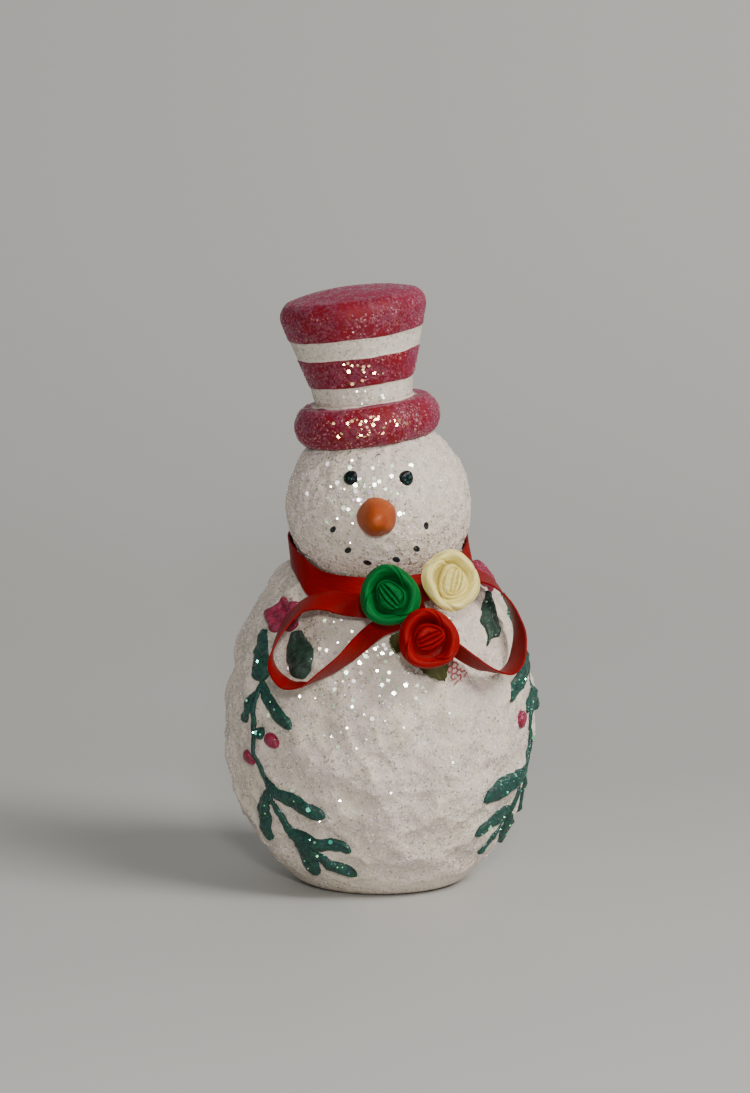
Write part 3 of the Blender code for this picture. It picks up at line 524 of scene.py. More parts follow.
def new_group(name, inputs, outputs):
    """An empty shader node group with named sockets, and the nodes at its two ends."""
    tree = bpy.data.node_groups.new(name, "ShaderNodeTree")
    for label, kind in inputs:
        tree.interface.new_socket(name=label, in_out="INPUT", socket_type="NodeSocket" + kind)
    for label, kind in outputs:
        tree.interface.new_socket(name=label, in_out="OUTPUT", socket_type="NodeSocket" + kind)
    start, stop = tree.nodes.new("NodeGroupInput"), tree.nodes.new("NodeGroupOutput")
    return tree, Recipe(tree), start.outputs, stop.inputs


def glitter_group():
    """Glitter as cells of a given size: a share of them shine, each tilted its own way and tinted
    along a run from one colour to another."""
    tree, recipe, given, out = new_group(
        "glitter",
        (("Place", "Vector"), ("Size", "Float"), ("Share", "Float"), ("Tilt", "Float"),
         ("First Tint", "Color"), ("Second Tint", "Color")),
        (("Mask", "Float"), ("Tint", "Color"), ("Normal", "Vector")),
    )
    place = recipe.scaled(given["Place"], recipe.math("DIVIDE", 1.0, given["Size"]))
    cells = recipe.add("ShaderNodeTexVoronoi", {"Vector": place, "Scale": 1.0}).outputs["Color"]
    random = recipe.add("ShaderNodeSeparateColor", {"Color": cells}).outputs
    mask = recipe.math("LESS_THAN", random[0], given["Share"])
    recipe.feed(out["Mask"], mask)
    recipe.feed(out["Tint"], recipe.blend(random[1], given["First Tint"], given["Second Tint"]))
    tilt = recipe.math("MULTIPLY", given["Tilt"], mask)
    lean = recipe.scaled(recipe.vector("SUBTRACT", cells, (0.5, 0.5, 0.5)), tilt)
    normal = recipe.add("ShaderNodeNewGeometry").outputs["Normal"]
    recipe.feed(out["Normal"], recipe.vector("NORMALIZE", recipe.vector("ADD", normal, lean)))
    return tree


def weave_group():
    """Satin weave: fine threads across the ribbon, broken every few threads where one dips under."""
    tree, recipe, given, out = new_group(
        "satin weave", (("Along", "Float"), ("Across", "Float"), ("Thread", "Float")), (("Height", "Float"),)
    )
    threads = recipe.math("DIVIDE", given["Along"], given["Thread"])
    ridge = recipe.math("ABSOLUTE", recipe.math("SINE", recipe.math("MULTIPLY", threads, math.pi)))
    step = recipe.math("MULTIPLY", recipe.math("FLOOR", threads), 0.37)
    span = recipe.math("MULTIPLY", given["Thread"], 5.0)
    dips = recipe.math("ADD", recipe.math("DIVIDE", given["Across"], span), step)
    dip = recipe.math("GREATER_THAN", recipe.math("SINE", recipe.math("MULTIPLY", dips, 2 * math.pi)), 0.9)
    recipe.feed(out["Height"], recipe.math("SUBTRACT", ridge, recipe.math("MULTIPLY", dip, 0.6)))
    return tree


def dot_group():
    """A painted oval dot round a point: 1 inside, 0 outside, with a soft edge."""
    tree, recipe, given, out = new_group(
        "painted dot",
        (("Place", "Vector"), ("Centre", "Vector"), ("Long Way", "Vector"), ("Radius", "Float"),
         ("Stretch", "Float")),
        (("Mask", "Float"),),
    )
    away = recipe.vector("SUBTRACT", given["Place"], given["Centre"])
    along = recipe.vector("DOT_PRODUCT", away, given["Long Way"])
    squeezed = recipe.scaled(given["Long Way"], recipe.math("MULTIPLY", along, given["Stretch"]))
    far = recipe.vector("LENGTH", recipe.vector("SUBTRACT", away, squeezed))
    inside = recipe.stretch(recipe.math("DIVIDE", far, given["Radius"]), 1.08, 0.92)
    recipe.feed(out["Mask"], inside)
    return tree


GLITTER, WEAVE, DOT = glitter_group(), weave_group(), dot_group()


def start_finish(name, **constants):
    """A new material, its recipe and its shader, with the shader's plain values set."""
    made = bpy.data.materials.new(name)
    made.use_nodes = True
    shader = made.node_tree.nodes["Principled BSDF"]
    for label, value in constants.items():
        shader.inputs[label.replace("_", " ")].default_value = value
    return made, Recipe(made.node_tree), shader.inputs


def smile_mask(recipe, place):
    """All the dots of the smile together."""
    total = 0.0
    for azimuth, elevation, slope in SMILE:
        outward = head_outward(azimuth, elevation)
        side = unit(np.cross(UP, outward)) * -1.0
        up = np.cross(outward, side) * -1.0
        turn = math.radians(slope)
        long_way = side * math.cos(turn) + up * math.sin(turn)
        centre = (HEAD_CENTRE + outward * HEAD_RADIUS) * MM
        dot = recipe.group(
            DOT, Place=place, Centre=tuple(centre), Stretch=0.3, Radius=0.58 * MM,
            **{"Long Way": tuple(long_way)},
        )["Mask"]
        total = recipe.math("MAXIMUM", total, dot)
    return total


def snow_finish(name, smiling):
    """Warm white paint, greyer in the dents as painted shade, crinkled, under a coat of fine clear
    glitter, and on the head with the dots of the smile."""
    made, recipe, shader = start_finish(name, Specular_IOR_Level=0.4)
    place = recipe.place()
    patches = recipe.noise(place, 9 * MM)
    grain = recipe.noise(place, 0.4 * MM)
    crinkle = recipe.noise(place, 1.9 * MM, 3.0)
    colour = recipe.blend(recipe.stretch(patches, 0.35, 0.65), (0.73, 0.63, 0.48), (0.78, 0.645, 0.55))
    # Painted shade: the paint turns greyer towards the bottoms of the hammered dents
    hollow = recipe.stretch(recipe.mark("hammered"), -0.35, 0.3)
    colour = recipe.blend(recipe.stretch(hollow, 0.0, 1.0, 0.4, 0.0), colour, (0.50, 0.44, 0.36))
    colour = recipe.blend(recipe.stretch(grain, 0.54, 0.68, 0.0, 0.24), colour, (0.44, 0.40, 0.36))
    flakes = recipe.group(
        GLITTER, Place=place, Size=FINE_GLITTER, Share=0.4, Tilt=1.1,
        **{"First Tint": (0.84, 0.68, 0.76), "Second Tint": (0.84, 0.86, 0.68)},
    )
    colour = recipe.blend(recipe.math("MULTIPLY", flakes["Mask"], 0.5), colour, flakes["Tint"])
    if smiling:
        colour = recipe.blend(smile_mask(recipe, place), colour, (0.010, 0.012, 0.014))
    recipe.feed(shader["Base Color"], colour)
    recipe.feed(shader["Roughness"], recipe.stretch(flakes["Mask"], 0.0, 1.0, 0.6, 0.24))
    height = recipe.math("ADD", recipe.math("MULTIPLY", crinkle, 4.2), grain)
    bump = recipe.add(
        "ShaderNodeBump", {"Height": height, "Distance": 0.12 * MM, "Strength": 0.7, "Normal": flakes["Normal"]}
    )
    recipe.feed(shader["Normal"], bump.outputs[0])
    return made


def hat_finish():
    """Crimson under a patchy veil of pinkish glitter, with two plain warm white stripes, and a
    painted pink sheen where the surface turns away from the view.
    """
    made, recipe, shader = start_finish("hat glitter", Specular_IOR_Level=0.3)
    place = recipe.place()
    wobble = recipe.math("MULTIPLY", recipe.math("SUBTRACT", recipe.noise(place, 7 * MM), 0.5), 0.9)
    along = recipe.math("ADD", recipe.mark("along"), wobble)
    stripes = 0.0
    for low, high in STRIPES:
        above = recipe.stretch(along, low - STRIPE_FADE, low + STRIPE_FADE)
        below = recipe.stretch(along, high + STRIPE_FADE, high - STRIPE_FADE)
        stripes = recipe.math("MAXIMUM", stripes, recipe.math("MULTIPLY", above, below))
    patches = recipe.noise(place, 3.6 * MM, 3.0)
    share = recipe.stretch(patches, 0.38, 0.62, 0.25, 0.75)
    fine = recipe.group(
        GLITTER, Place=place, Size=0.40 * MM, Share=share, Tilt=0.7,
        **{"First Tint": (0.27, 0.04, 0.11), "Second Tint": (0.42, 0.14, 0.14)},
    )
    red = recipe.blend(recipe.stretch(patches, 0.35, 0.65), (0.20, 0.0005, 0.007), (0.14, 0.002, 0.020))
    red = recipe.blend(recipe.math("MULTIPLY", fine["Mask"], 0.42), red, fine["Tint"])
    # Painted sheen: the red turns pinker as the surface slants away from the view, like glitter catching light
    # at the outline
    grazing_sheen = recipe.add("ShaderNodeLayerWeight", {"Blend": 0.5}).outputs["Facing"]
    red = recipe.blend(recipe.stretch(grazing_sheen, 0.3, 1.0, 0.0, 0.6), red, (0.34, 0.045, 0.13))
    paint = recipe.blend(recipe.noise(place, 1.4 * MM), (0.66, 0.585, 0.49), (0.76, 0.68, 0.58))
    recipe.feed(shader["Base Color"], recipe.blend(stripes, red, paint))
    plain = recipe.math("MULTIPLY", fine["Mask"], recipe.math("SUBTRACT", 1.0, stripes))
    recipe.feed(shader["Roughness"], recipe.stretch(plain, 0.0, 1.0, 0.6, 0.25))
    crust = recipe.noise(place, 0.9 * MM, 3.0)
    bump = recipe.add(
        "ShaderNodeBump", {"Height": crust, "Distance": 0.2 * MM, "Strength": 0.6, "Normal": fine["Normal"]}
    )
    recipe.feed(shader["Normal"], bump.outputs[0])
    return made


def carrot_finish():
    """Matte orange paint, a little redder in patches, with faint brush texture."""
    made, recipe, shader = start_finish("carrot paint", Specular_IOR_Level=0.35)
    place = recipe.place()
    patches = recipe.noise(place, 2.5 * MM)
    colour = recipe.blend(recipe.stretch(patches, 0.35, 0.65), (0.40, 0.072, 0.004), (0.31, 0.045, 0.003))
    fine = recipe.noise(place, 0.5 * MM, 4.0)
    colour = recipe.blend(recipe.stretch(fine, 0.58, 0.75, 0.0, 0.35), colour, (0.52, 0.16, 0.03))
    recipe.feed(shader["Base Color"], colour)
    recipe.feed(shader["Roughness"], recipe.stretch(fine, 0.3, 0.7, 0.42, 0.6))
    bump = recipe.add("ShaderNodeBump", {"Height": fine, "Distance": 0.1 * MM, "Strength": 0.35})
    recipe.feed(shader["Normal"], bump.outputs[0])
    return made


def glitter_paint(name, deep, bright, first, second, share):
    """Thick glitter paint: mottled colour, sparkling cells, and a pebbled surface."""
    made, recipe, shader = start_finish(name, Specular_IOR_Level=0.45)
    place = recipe.place()
    mottle = recipe.noise(place, 1.3 * MM, 3.0)
    colour = recipe.blend(recipe.stretch(mottle, 0.38, 0.62), deep, bright)
    flakes = recipe.group(
        GLITTER, Place=place, Size=FINE_GLITTER, Share=share, Tilt=0.9,
        **{"First Tint": first, "Second Tint": second},
    )
    colour = recipe.blend(recipe.math("MULTIPLY", flakes["Mask"], 0.7), colour, flakes["Tint"])
    recipe.feed(shader["Base Color"], colour)
    recipe.feed(shader["Metallic"], recipe.math("MULTIPLY", flakes["Mask"], 0.25))
    recipe.feed(shader["Roughness"], recipe.blend(flakes["Mask"], (0.5, 0.5, 0.5), (0.25, 0.25, 0.25)))
    bump = recipe.add(
        "ShaderNodeBump", {"Height": mottle, "Distance": 0.25 * MM, "Strength": 0.6, "Normal": flakes["Normal"]}
    )
    recipe.feed(shader["Normal"], bump.outputs[0])
    return made


def satin_finish(name, deep, bright, painted_fold_shade=False):
    """Satin ribbon: threads across it with painted shade where they lie low, slightly streaked along,
    and with painted shade deep in folds.
    """
    made, recipe, shader = start_finish(name, Specular_IOR_Level=0.12)
    along, across = recipe.mark("along"), recipe.mark("across")
    height = recipe.group(WEAVE, Along=along, Across=across, Thread=0.16)["Height"]
    streaks = recipe.add(
        "ShaderNodeCombineXYZ",
        {"X": recipe.math("MULTIPLY", along, 0.35), "Y": recipe.math("MULTIPLY", across, 2.5)},
    )
    streak = recipe.noise(streaks.outputs[0], 1.0, 3.0)
    colour = recipe.blend(recipe.stretch(streak, 0.35, 0.65), deep, bright)
    # Painted shade: darker where the weave lies low, between threads and where one dips under
    colour = recipe.blend(recipe.stretch(height, 0.0, 0.5, 0.4, 0.0), colour, deep)
    # Painted shade: darker where the deep mark says the satin lies deep in a fold, moat or slit
    if painted_fold_shade:
        shade = tuple(0.45 * value for value in deep)
        colour = recipe.blend(recipe.stretch(recipe.mark("deep"), 0.35, 1.0, 0.0, 0.9), colour, shade)
    recipe.feed(shader["Base Color"], colour)
    recipe.feed(shader["Roughness"], recipe.stretch(streak, 0.3, 0.7, 0.38, 0.55))
    bump = recipe.add("ShaderNodeBump", {"Height": height, "Distance": 0.04 * MM, "Strength": 0.5})
    recipe.feed(shader["Normal"], bump.outputs[0])
    return made


def bead_finish():
    """Glossy black with a few green and blue glitter cells."""
    made, recipe, shader = start_finish("bead black", Specular_IOR_Level=0.2, Roughness=0.3)
    flakes = recipe.group(
        GLITTER, Place=recipe.place(), Size=FINE_GLITTER, Share=0.2, Tilt=0.5,
        **{"First Tint": (0.01, 0.10, 0.05), "Second Tint": (0.015, 0.03, 0.06)},
    )
    recipe.feed(shader["Base Color"], recipe.blend(flakes["Mask"], (0.004, 0.006, 0.007), flakes["Tint"]))
    recipe.feed(shader["Normal"], flakes["Normal"])
    return made


def flake_finish(name, first, second, roughness=0.2, metallic=0.0):
    """Film flakes whose tint runs between two colours from flake to flake."""
    made, recipe, shader = start_finish(name, Metallic=metallic, Roughness=roughness, Specular_IOR_Level=0.8)
    recipe.feed(shader["Base Color"], recipe.blend(recipe.mark("tint"), first, second))
    return made


def net_finish():
    """Pinkish red thread in two mottled tones."""
    made, recipe, shader = start_finish("net thread", Roughness=0.5, Sheen_Weight=0.2)
    mottle = recipe.noise(recipe.place(), 1.0 * MM)
    recipe.feed(shader["Base Color"], recipe.blend(mottle, (0.34, 0.04, 0.05), (0.50, 0.12, 0.13)))
    return made


def build_body():
    """Rings of the rounded base edge, then the wall: the ellipsoid plus its relief along the
    normal, on a grid of azimuth by the angle whose sine is the height, then the dish."""
    azimuth = np.linspace(0, 360, 360, endpoint=False)
    edge = smooth_line((*BASE_EDGE, (float(body_radius(WALL_START_Z)), WALL_START_Z)), 9)[:-1]
    base = around(azimuth)[None] * edge[:, :1, None] + UP * edge[:, 1:, None]
    angle = WALL_START + (wall_stop(azimuth) - WALL_START) * np.linspace(0, 1, 218)[:, None]
    z = BODY_CENTRE_Z + BODY_HALF_HEIGHT * np.sin(angle)
    turn = np.broadcast_to(azimuth, z.shape)
    relief, hammered = body_relief(turn, z)
    wall = body_plain(turn, z, relief)
    away = wall - HEAD_CENTRE
    close = np.linalg.norm(away, axis=-1, keepdims=True)
    wall = np.where(close < DISH_RADIUS, HEAD_CENTRE + away / close * DISH_RADIUS, wall)
    lowest = HEAD_CENTRE - UP * DISH_RADIUS
    inward = lowest + (wall[-1] - lowest) * np.linspace(0.93, 0.1, 10)[:, None, None]
    dish = HEAD_CENTRE + unit(inward - HEAD_CENTRE) * DISH_RADIUS
    grid = np.concatenate([base, wall, dish])
    mark = np.concatenate([np.zeros(base.shape[:2]), hammered, np.zeros(dish.shape[:2])])
    make("body_snow", [shell(grid, hammered=mark)], snow_finish("body snow", False), ["body"])


def build_head():
    """The ball plus its relief, on a grid of azimuth by latitude."""
    latitude = np.linspace(-89, 89, 178)
    azimuth = np.linspace(0, 360, 300, endpoint=False)
    rise, turn = np.meshgrid(np.radians(latitude), azimuth, indexing="ij")
    outward = around(turn) * np.cos(rise)[..., None] + UP * np.sin(rise)[..., None]
    relief, hammered = head_relief(outward)
    grid = HEAD_CENTRE + outward * (HEAD_RADIUS + relief)[..., None]
    make("head_snow", [shell(grid, hammered=hammered)], snow_finish("head snow", True), ["head"])


def hat_frame():
    """Middle of the brim, and the hat's axis and two directions across it."""
    axis = unit(np.array([-math.sin(HAT_TIP_LEFT), -math.sin(HAT_TIP_FORWARD), 1.0]))
    side = unit(np.cross(axis, [0.0, 1.0, 0.0]))
    return HEAD_CENTRE + axis * BRIM_UP, axis, side, np.cross(axis, side)


def arc(radius, centre_radius, centre_height, start, stop, count):
    """Points of an arc in an outline of radius and height, its angles in degrees from level."""
    turn = np.radians(np.linspace(start, stop, count))
    return np.stack([centre_radius + radius * np.cos(turn), centre_height + radius * np.sin(turn)], -1)


def build_hat():
    """The outline turned about the tipped axis: a hollow that fits the head, the round brim, the
    flared crown with its stripes pressed in, and the domed top, with a hand-made waver."""
    middle, axis, side, front = hat_frame()
    hollow = HEAD_RADIUS + HEAD_LUMP + GAP
    inside = np.linspace(0.5, 9.0, 12)
    under = np.stack([inside, np.sqrt(hollow**2 - inside**2) - BRIM_UP], -1)
    outline = np.vstack([
        under,
        arc(BRIM_HALF_THICKNESS, BRIM_RING_RADIUS, 0.0, -100, 66, 40),
        smooth_line(CROWN_SIDE, 44),
        arc(CROWN_SHOULDER, CROWN_TOP_RADIUS - CROWN_SHOULDER, SHOULDER_HEIGHT, -15, 66, 26),
        smooth_line(CROWN_TOP, 8),
    ])
    outline = smooth_line(outline[::2], 190)
    radius, height = outline[:, 0], outline[:, 1]
    pressed = np.zeros_like(height)
    for low, high in STRIPES:
        pressed += ease((height - low) / 0.5 + 0.5) * ease((high - height) / 0.5 + 0.5)
    turn = np.radians(np.linspace(0, 360, 220, endpoint=False))
    level = side * np.cos(turn)[:, None] + front * np.sin(turn)[:, None]
    outer = (height > 4.0) | (radius > 9.2)
    radius = radius - np.where(height > 4.0, STRIPE_DEPTH * pressed, 0.0)
    grid = middle + level[None] * radius[:, None, None] + axis * height[:, None, None]
    waver = 0.16 * swell(grid, waves(71, 6.0, 12.0)) + 0.04 * swell(grid, RIPPLES)
    grid = grid + level[None] * (waver * outer[:, None] * ease(radius / 6.0)[:, None])[..., None]
    away = grid - HEAD_CENTRE
    close = np.linalg.norm(away, axis=-1, keepdims=True)
    grid = np.where(close < hollow, HEAD_CENTRE + away / close * hollow, grid)
    crown = (outline[:, 0] < 10.3) | (height > 6.0)
    along = np.broadcast_to(np.where(outer & crown, height, 0.0)[:, None], grid.shape[:2])
    make("hat_felt", [shell(grid, along=along)], hat_finish(), ["hat"])


def button(seat, foot, outward, edge, outline, rise, columns=48, sunk=0.25, straight=0.0):
    """A closed button on a surface: rings at shares of the edge's radius, each brought to the
    surface by seat() and lifted by its share of the rise. Its underside is sunk in the surface.
    Above the height called straight, rings stand square to the axis instead."""
    side = unit(np.cross(outward, UP))
    up = np.cross(side, outward)
    turn = np.linspace(0, 2 * math.pi, columns, endpoint=False)
    level = side * np.cos(turn)[:, None] + up * np.sin(turn)[:, None]
    outline = smooth_line(((0.3, -sunk), (0.7, -sunk), (0.96, -sunk * 0.9), (1.03, -0.02), *outline), 44)
    share, lift = outline[:, 0], outline[:, 1] * rise
    lift = np.where(outline[:, 1] < 0, outline[:, 1], lift)
    flat = foot + level[None] * (edge(turn)[None] * share[:, None])[..., None]
    seated = seat(flat, np.broadcast_to(lift[:, None], flat.shape[:2]))
    if straight:
        upright = flat + outward * lift[:, None, None]
        seated = seated + (upright - seated) * ease(lift / straight)[:, None, None]
    return seated


def build_nose(finish):
    """The blunt cone: a button whose outline narrows to a round tip."""
    heading = unit(NOSE_WAY)
    cone = ((1.0, 0.08), (0.94, 0.2), (0.86, 0.34), (0.66, 0.62), (0.44, 0.84), (0.22, 0.97), (0.05, 1.0))
    grid = button(
        seat_on_head, HEAD_CENTRE + heading * HEAD_RADIUS, heading,
        lambda turn: NOSE_RADIUS * (1 + 0.02 * np.cos(5 * turn)), cone, NOSE_LENGTH, 64, 0.4, 2.0,
    )
    grid = grid + unit(grid - HEAD_CENTRE) * (0.05 * swell(grid, waves(83, 1.5, 4.0)))[..., None]
    make("nose_paint", [shell(grid)], finish, ["nose"])


def build_eye(label, finish):
    """One bead eye: a low dome."""
    azimuth = EYE_AZIMUTHS[label]
    bead = ((1.0, 0.3), (0.85, 0.65), (0.6, 0.88), (0.3, 0.98), (0.05, 1.0))
    outward = head_outward(azimuth, EYE_ELEVATION)
    grid = button(
        seat_on_head, HEAD_CENTRE + outward * HEAD_RADIUS, outward,
        lambda turn: EYE_RADIUS * (1 + 0.03 * np.cos(3 * turn + azimuth)), bead, EYE_RISE + 0.2, 40, 0.2,
    )
    make(f"eye_{label}_bead", [shell(grid)], finish, ["eye_" + label])


def band(middles, halves, normals, along):
    """A ribbon carried along a path: at every station its section is a thin bar with round ends,
    across the half width and along the normal, and bowed out a little in its middle."""
    t = np.linspace(-1, 1, 13)
    across = np.concatenate([t, [1.0], t[::-1], [-1.0]])
    side = np.concatenate([np.ones(13), [0.0], -np.ones(13), [0.0]])
    inset = np.where(side == 0, 1.0, 0.985)
    bow_out = RIBBON_CUP * (1 - across**2)
    width = np.linalg.norm(halves, axis=-1)
    grid = (
        middles[:, None, :]
        + halves[:, None, :] * (across * inset)[None, :, None]
        + normals[:, None, :] * (side * RIBBON_THICKNESS / 2 + bow_out)[None, :, None]
    )
    return grid, np.broadcast_to(along[:, None], grid.shape[:2]), across[None] * width[:, None]


def path_along(middles):
    """Distance walked to each station of a path."""
    return np.append(0.0, np.cumsum(np.linalg.norm(np.diff(middles, axis=0), axis=1)))


def build_neck_ribbon(finish):
    """The band pulled straight from its lower edge on the body to its upper edge on the head. Both
    lie on a line that runs up outside body and ball, one ribbon's width apart along it."""
    heights = np.linspace(50, 80, 3000)
    azimuth = np.linspace(9, 369, 300, endpoint=False)
    ahead = around(azimuth) @ HEAD_CENTRE
    level = ahead**2 - (HEAD_CENTRE[:2] ** 2).sum()
    reach = level[:, None] + HEAD_RADIUS**2 - (heights - HEAD_CENTRE[2]) ** 2
    ball = ahead[:, None] + np.sqrt(np.clip(reach, 0, None))
    radii = np.maximum(body_radius(heights)[None], ball) + NECK_LIFT
    steps = np.hypot(np.diff(radii, axis=1), np.diff(heights))
    lengths = np.concatenate([np.zeros((len(azimuth), 1)), np.cumsum(steps, axis=1)], axis=1)
    edge = smooth_line(np.array(NECK_LOW_EDGE), 400)
    low_z = np.interp((azimuth + 180) % 360 - 180, edge[:, 0], edge[:, 1])
    row = np.arange(len(azimuth))
    start = (heights >= low_z[:, None]).argmax(1)
    stop = (lengths - lengths[row, start][:, None] >= RIBBON_WIDTH).argmax(1)
    low, high = (
        around(azimuth) * radii[row, at][:, None] + UP * heights[at][:, None] for at in (start, stop)
    )
    across = np.linspace(0, 1, 13)
    crumple = 0.1 * np.sin(np.radians(azimuth) * 17)[:, None] * np.sin(math.pi * across)[None]
    out = unit(np.cross(around(azimuth + 90), high - low))[:, None]
    line = low[:, None] + (high - low)[:, None] * across[:, None] + out * crumple[..., None]
    thick = out * RIBBON_THICKNESS / 2
    grid = np.concatenate([line + thick, (line - thick)[:, ::-1]], axis=1)
    along = np.radians(azimuth - 9)[:, None] * 18.0
    marks = {"along": along, "across": np.concatenate([across, across[::-1]])[None] * RIBBON_WIDTH}
    make("neck_ribbon_satin", [shell(grid, True, **marks)], finish, ["neck_ribbon"])


def bow_loop(label):
    """One loop: a band whose half width leans between the viewer's way and the loop's plane."""
    outward = 1.0 if label == "left" else -1.0
    route = smooth_line(np.array(LOOP_ROUTES[label]) * ROUTE_WEIGHTS, 150) / ROUTE_WEIGHTS
    share = np.linspace(0, 1, len(route))
    free = ease(np.minimum(share, 1 - share) / GATHERED_SHARE)
    middles = body_plain(route[:, 0], route[:, 1], GATHERED_LIFT + (LOOP_LIFT - GATHERED_LIFT) * free)
    width = GATHERED_WIDTH + (RIBBON_WIDTH - GATHERED_WIDTH) * free
    tangent = unit(np.gradient(middles, axis=0))
    square = unit(VIEWER - tangent * (tangent @ VIEWER)[:, None])
    lean = np.radians(route[:, 2])[:, None]
    half = square * np.cos(lean) + np.cross(tangent, square) * np.sin(lean) * outward
    normal = np.cross(tangent, half)
    grid, along, across = band(middles, half * width[:, None] / 2, normal, path_along(middles))
    return shell(grid, along=along, across=across)


def build_bow(finish):
    """Both loops, and the knot: a flattened pillow with soft corners."""
    middle = body_plain(*KNOT_PLACE)
    out = body_normal(np.asarray(KNOT_PLACE[0]), np.asarray(KNOT_PLACE[1]))
    side = around(np.asarray(KNOT_PLACE[0] + 90.0))
    up = np.cross(out, side)
    width, depth, height = KNOT_SIZE
    tilts, turns = np.radians(np.linspace(-86, 86, 24)), np.linspace(0, 2 * math.pi, 48, endpoint=False)
    tilt, turn = np.meshgrid(tilts, turns, indexing="ij")
    rim = np.cos(tilt) ** 0.45
    x = rim * np.sign(np.cos(turn)) * np.abs(np.cos(turn)) ** 0.7 * width / 2
    y = rim * np.sign(np.sin(turn)) * np.abs(np.sin(turn)) ** 0.7 * height / 2
    grid = middle + side * x[..., None] + up * y[..., None] + out * (np.sin(tilt) * depth / 2)[..., None]
    knot = shell(grid, along=x, across=y)
    make("bow_satin", [bow_loop("left"), bow_loop("right"), knot], finish, ["bow"])


def rose_lip(turn, share, lip_at, corners):
    """Height of the fat lip round the rim: a flat-topped ridge at its own share of the distance,
    waving a little, with three creases aslant, each with a fold beside it."""
    ridge = ROSE_LIP_HEIGHT * np.exp(-((np.abs(share - lip_at) / 0.19) ** 2.6))
    lip = ridge + 0.14 * np.sin(3 * turn + corners)
    for start in (0.4, 2.3, 4.4):
        slant = (turn - start - corners + math.pi) % (2 * math.pi) - math.pi - 2.2 * (share - 0.8)
        lip = lip - 0.38 * np.exp(-((slant / 0.07) ** 2)) + 0.22 * np.exp(-(((slant - 0.2) / 0.16) ** 2))
    return lip


def rose_slits(x, y, egg, about):
    """How deep the bud is cut, from 0 to 1, at places along and across it: three bowed slits along
    it, and round them a seam whose distance grows with the angle, so that it winds."""
    slits = np.zeros_like(egg)
    within = ease((0.86 - np.abs(x) / ROSE_BUD_LONG) / 0.25)
    for row, wide in ((-1.25, 0.15), (-0.3, 0.2), (0.6, 0.2)):
        line = row * (1 - 0.6 * (x / ROSE_BUD_LONG) ** 2)
        slits = np.maximum(slits, within * np.exp(-(((y - line) / wide) ** 2)))
    wound = 0.7 + 0.11 * (about % (2 * math.pi)) / math.pi
    seam = np.exp(-(((egg - wound) / 0.055) ** 2)) * ease((0.98 - egg) / 0.06)
    return np.maximum(slits * ease((wound - egg) / 0.12), seam)


def build_rose(label, finish):
    """A ribbon rose seen from its front, as one skin over a grid of angle by distance: a lip round
    the rim, a moat that is deepest on one side, and an egg-shaped bud, joined through a soft
    maximum, and a plain back."""
    middle, facing, slope, corners, nudge, moat_way = ROSES[label]
    middle, out = np.array(middle), unit(np.array(facing))
    side = unit(np.cross(out, UP)) * -1.0
    up = np.cross(out, side)
    turn = np.linspace(0, 2 * math.pi, 300, endpoint=False)
    rim = ROSE_RADIUS * (1 + 0.035 * np.cos(corners * turn + 0.8) + 0.022 * np.sin(2 * turn + corners))
    share = np.linspace(0.012, 1.0, 140)[:, None] ** 0.9
    far = share * rim
    right, high = far * np.cos(turn) - nudge[0], far * np.sin(turn) - nudge[1]
    tilt = math.radians(slope)
    x = right * math.cos(tilt) + high * math.sin(tilt)
    y = high * math.cos(tilt) - right * math.sin(tilt)
    about = np.arctan2(high, right)
    egg = np.hypot(x / ROSE_BUD_LONG, y / ROSE_BUD_WIDE) * (1 + 0.06 * np.cos(3 * about + corners))
    lip_at = 0.81 + 0.035 * np.cos(2 * turn + corners) + 0.02 * np.sin(5 * turn)
    lip = rose_lip(turn, share, lip_at, corners)
    slits = rose_slits(x, y, egg, about - tilt)
    bud = ROSE_BUD_HEIGHT * np.clip(1 - egg**4, 0, 1) ** 0.7 - 0.25 * (1 - egg) - 0.6 * slits
    facing_moat = 0.5 + 0.5 * np.cos(about - math.radians(moat_way))
    moat = 0.75 - 1.15 * facing_moat - 1.6 * ease((share - 0.86) / 0.14)
    height = np.log(np.exp(6 * lip) + np.exp(6 * bud) + np.exp(6 * moat)) / 6
    height = np.where(share > lip_at, np.minimum(height, lip + 0.12), height)
    # Painted shade: how deep each place lies in the moat or in a slit of the bud, which the satin darkens
    deep = np.maximum(ease((1.55 - height) / 1.5) * (share < lip_at), 0.6 * slits * (egg < 1))
    level = side * np.cos(turn)[:, None] + up * np.sin(turn)[:, None]
    front = middle + level * far[..., None] + out * height[..., None]
    back = smooth_line(ROSE_BACK, 22)
    behind = middle + level * (back[:, :1] / ROSE_RADIUS * rim)[..., None] + out * back[:, 1:, None]
    plain = np.zeros(behind.shape[:2])
    marks = {
        "along": np.concatenate([far * 0 + turn * 4.0, plain + turn * 4.0]),
        "across": np.concatenate([far, plain + back[:, 1:]]),
        "deep": np.concatenate([deep, plain + 0.4]),
    }
    grid = np.concatenate([front, behind])
    make(f"rose_{label}_satin", [shell(grid, **marks)], finish, ["rose_" + label])


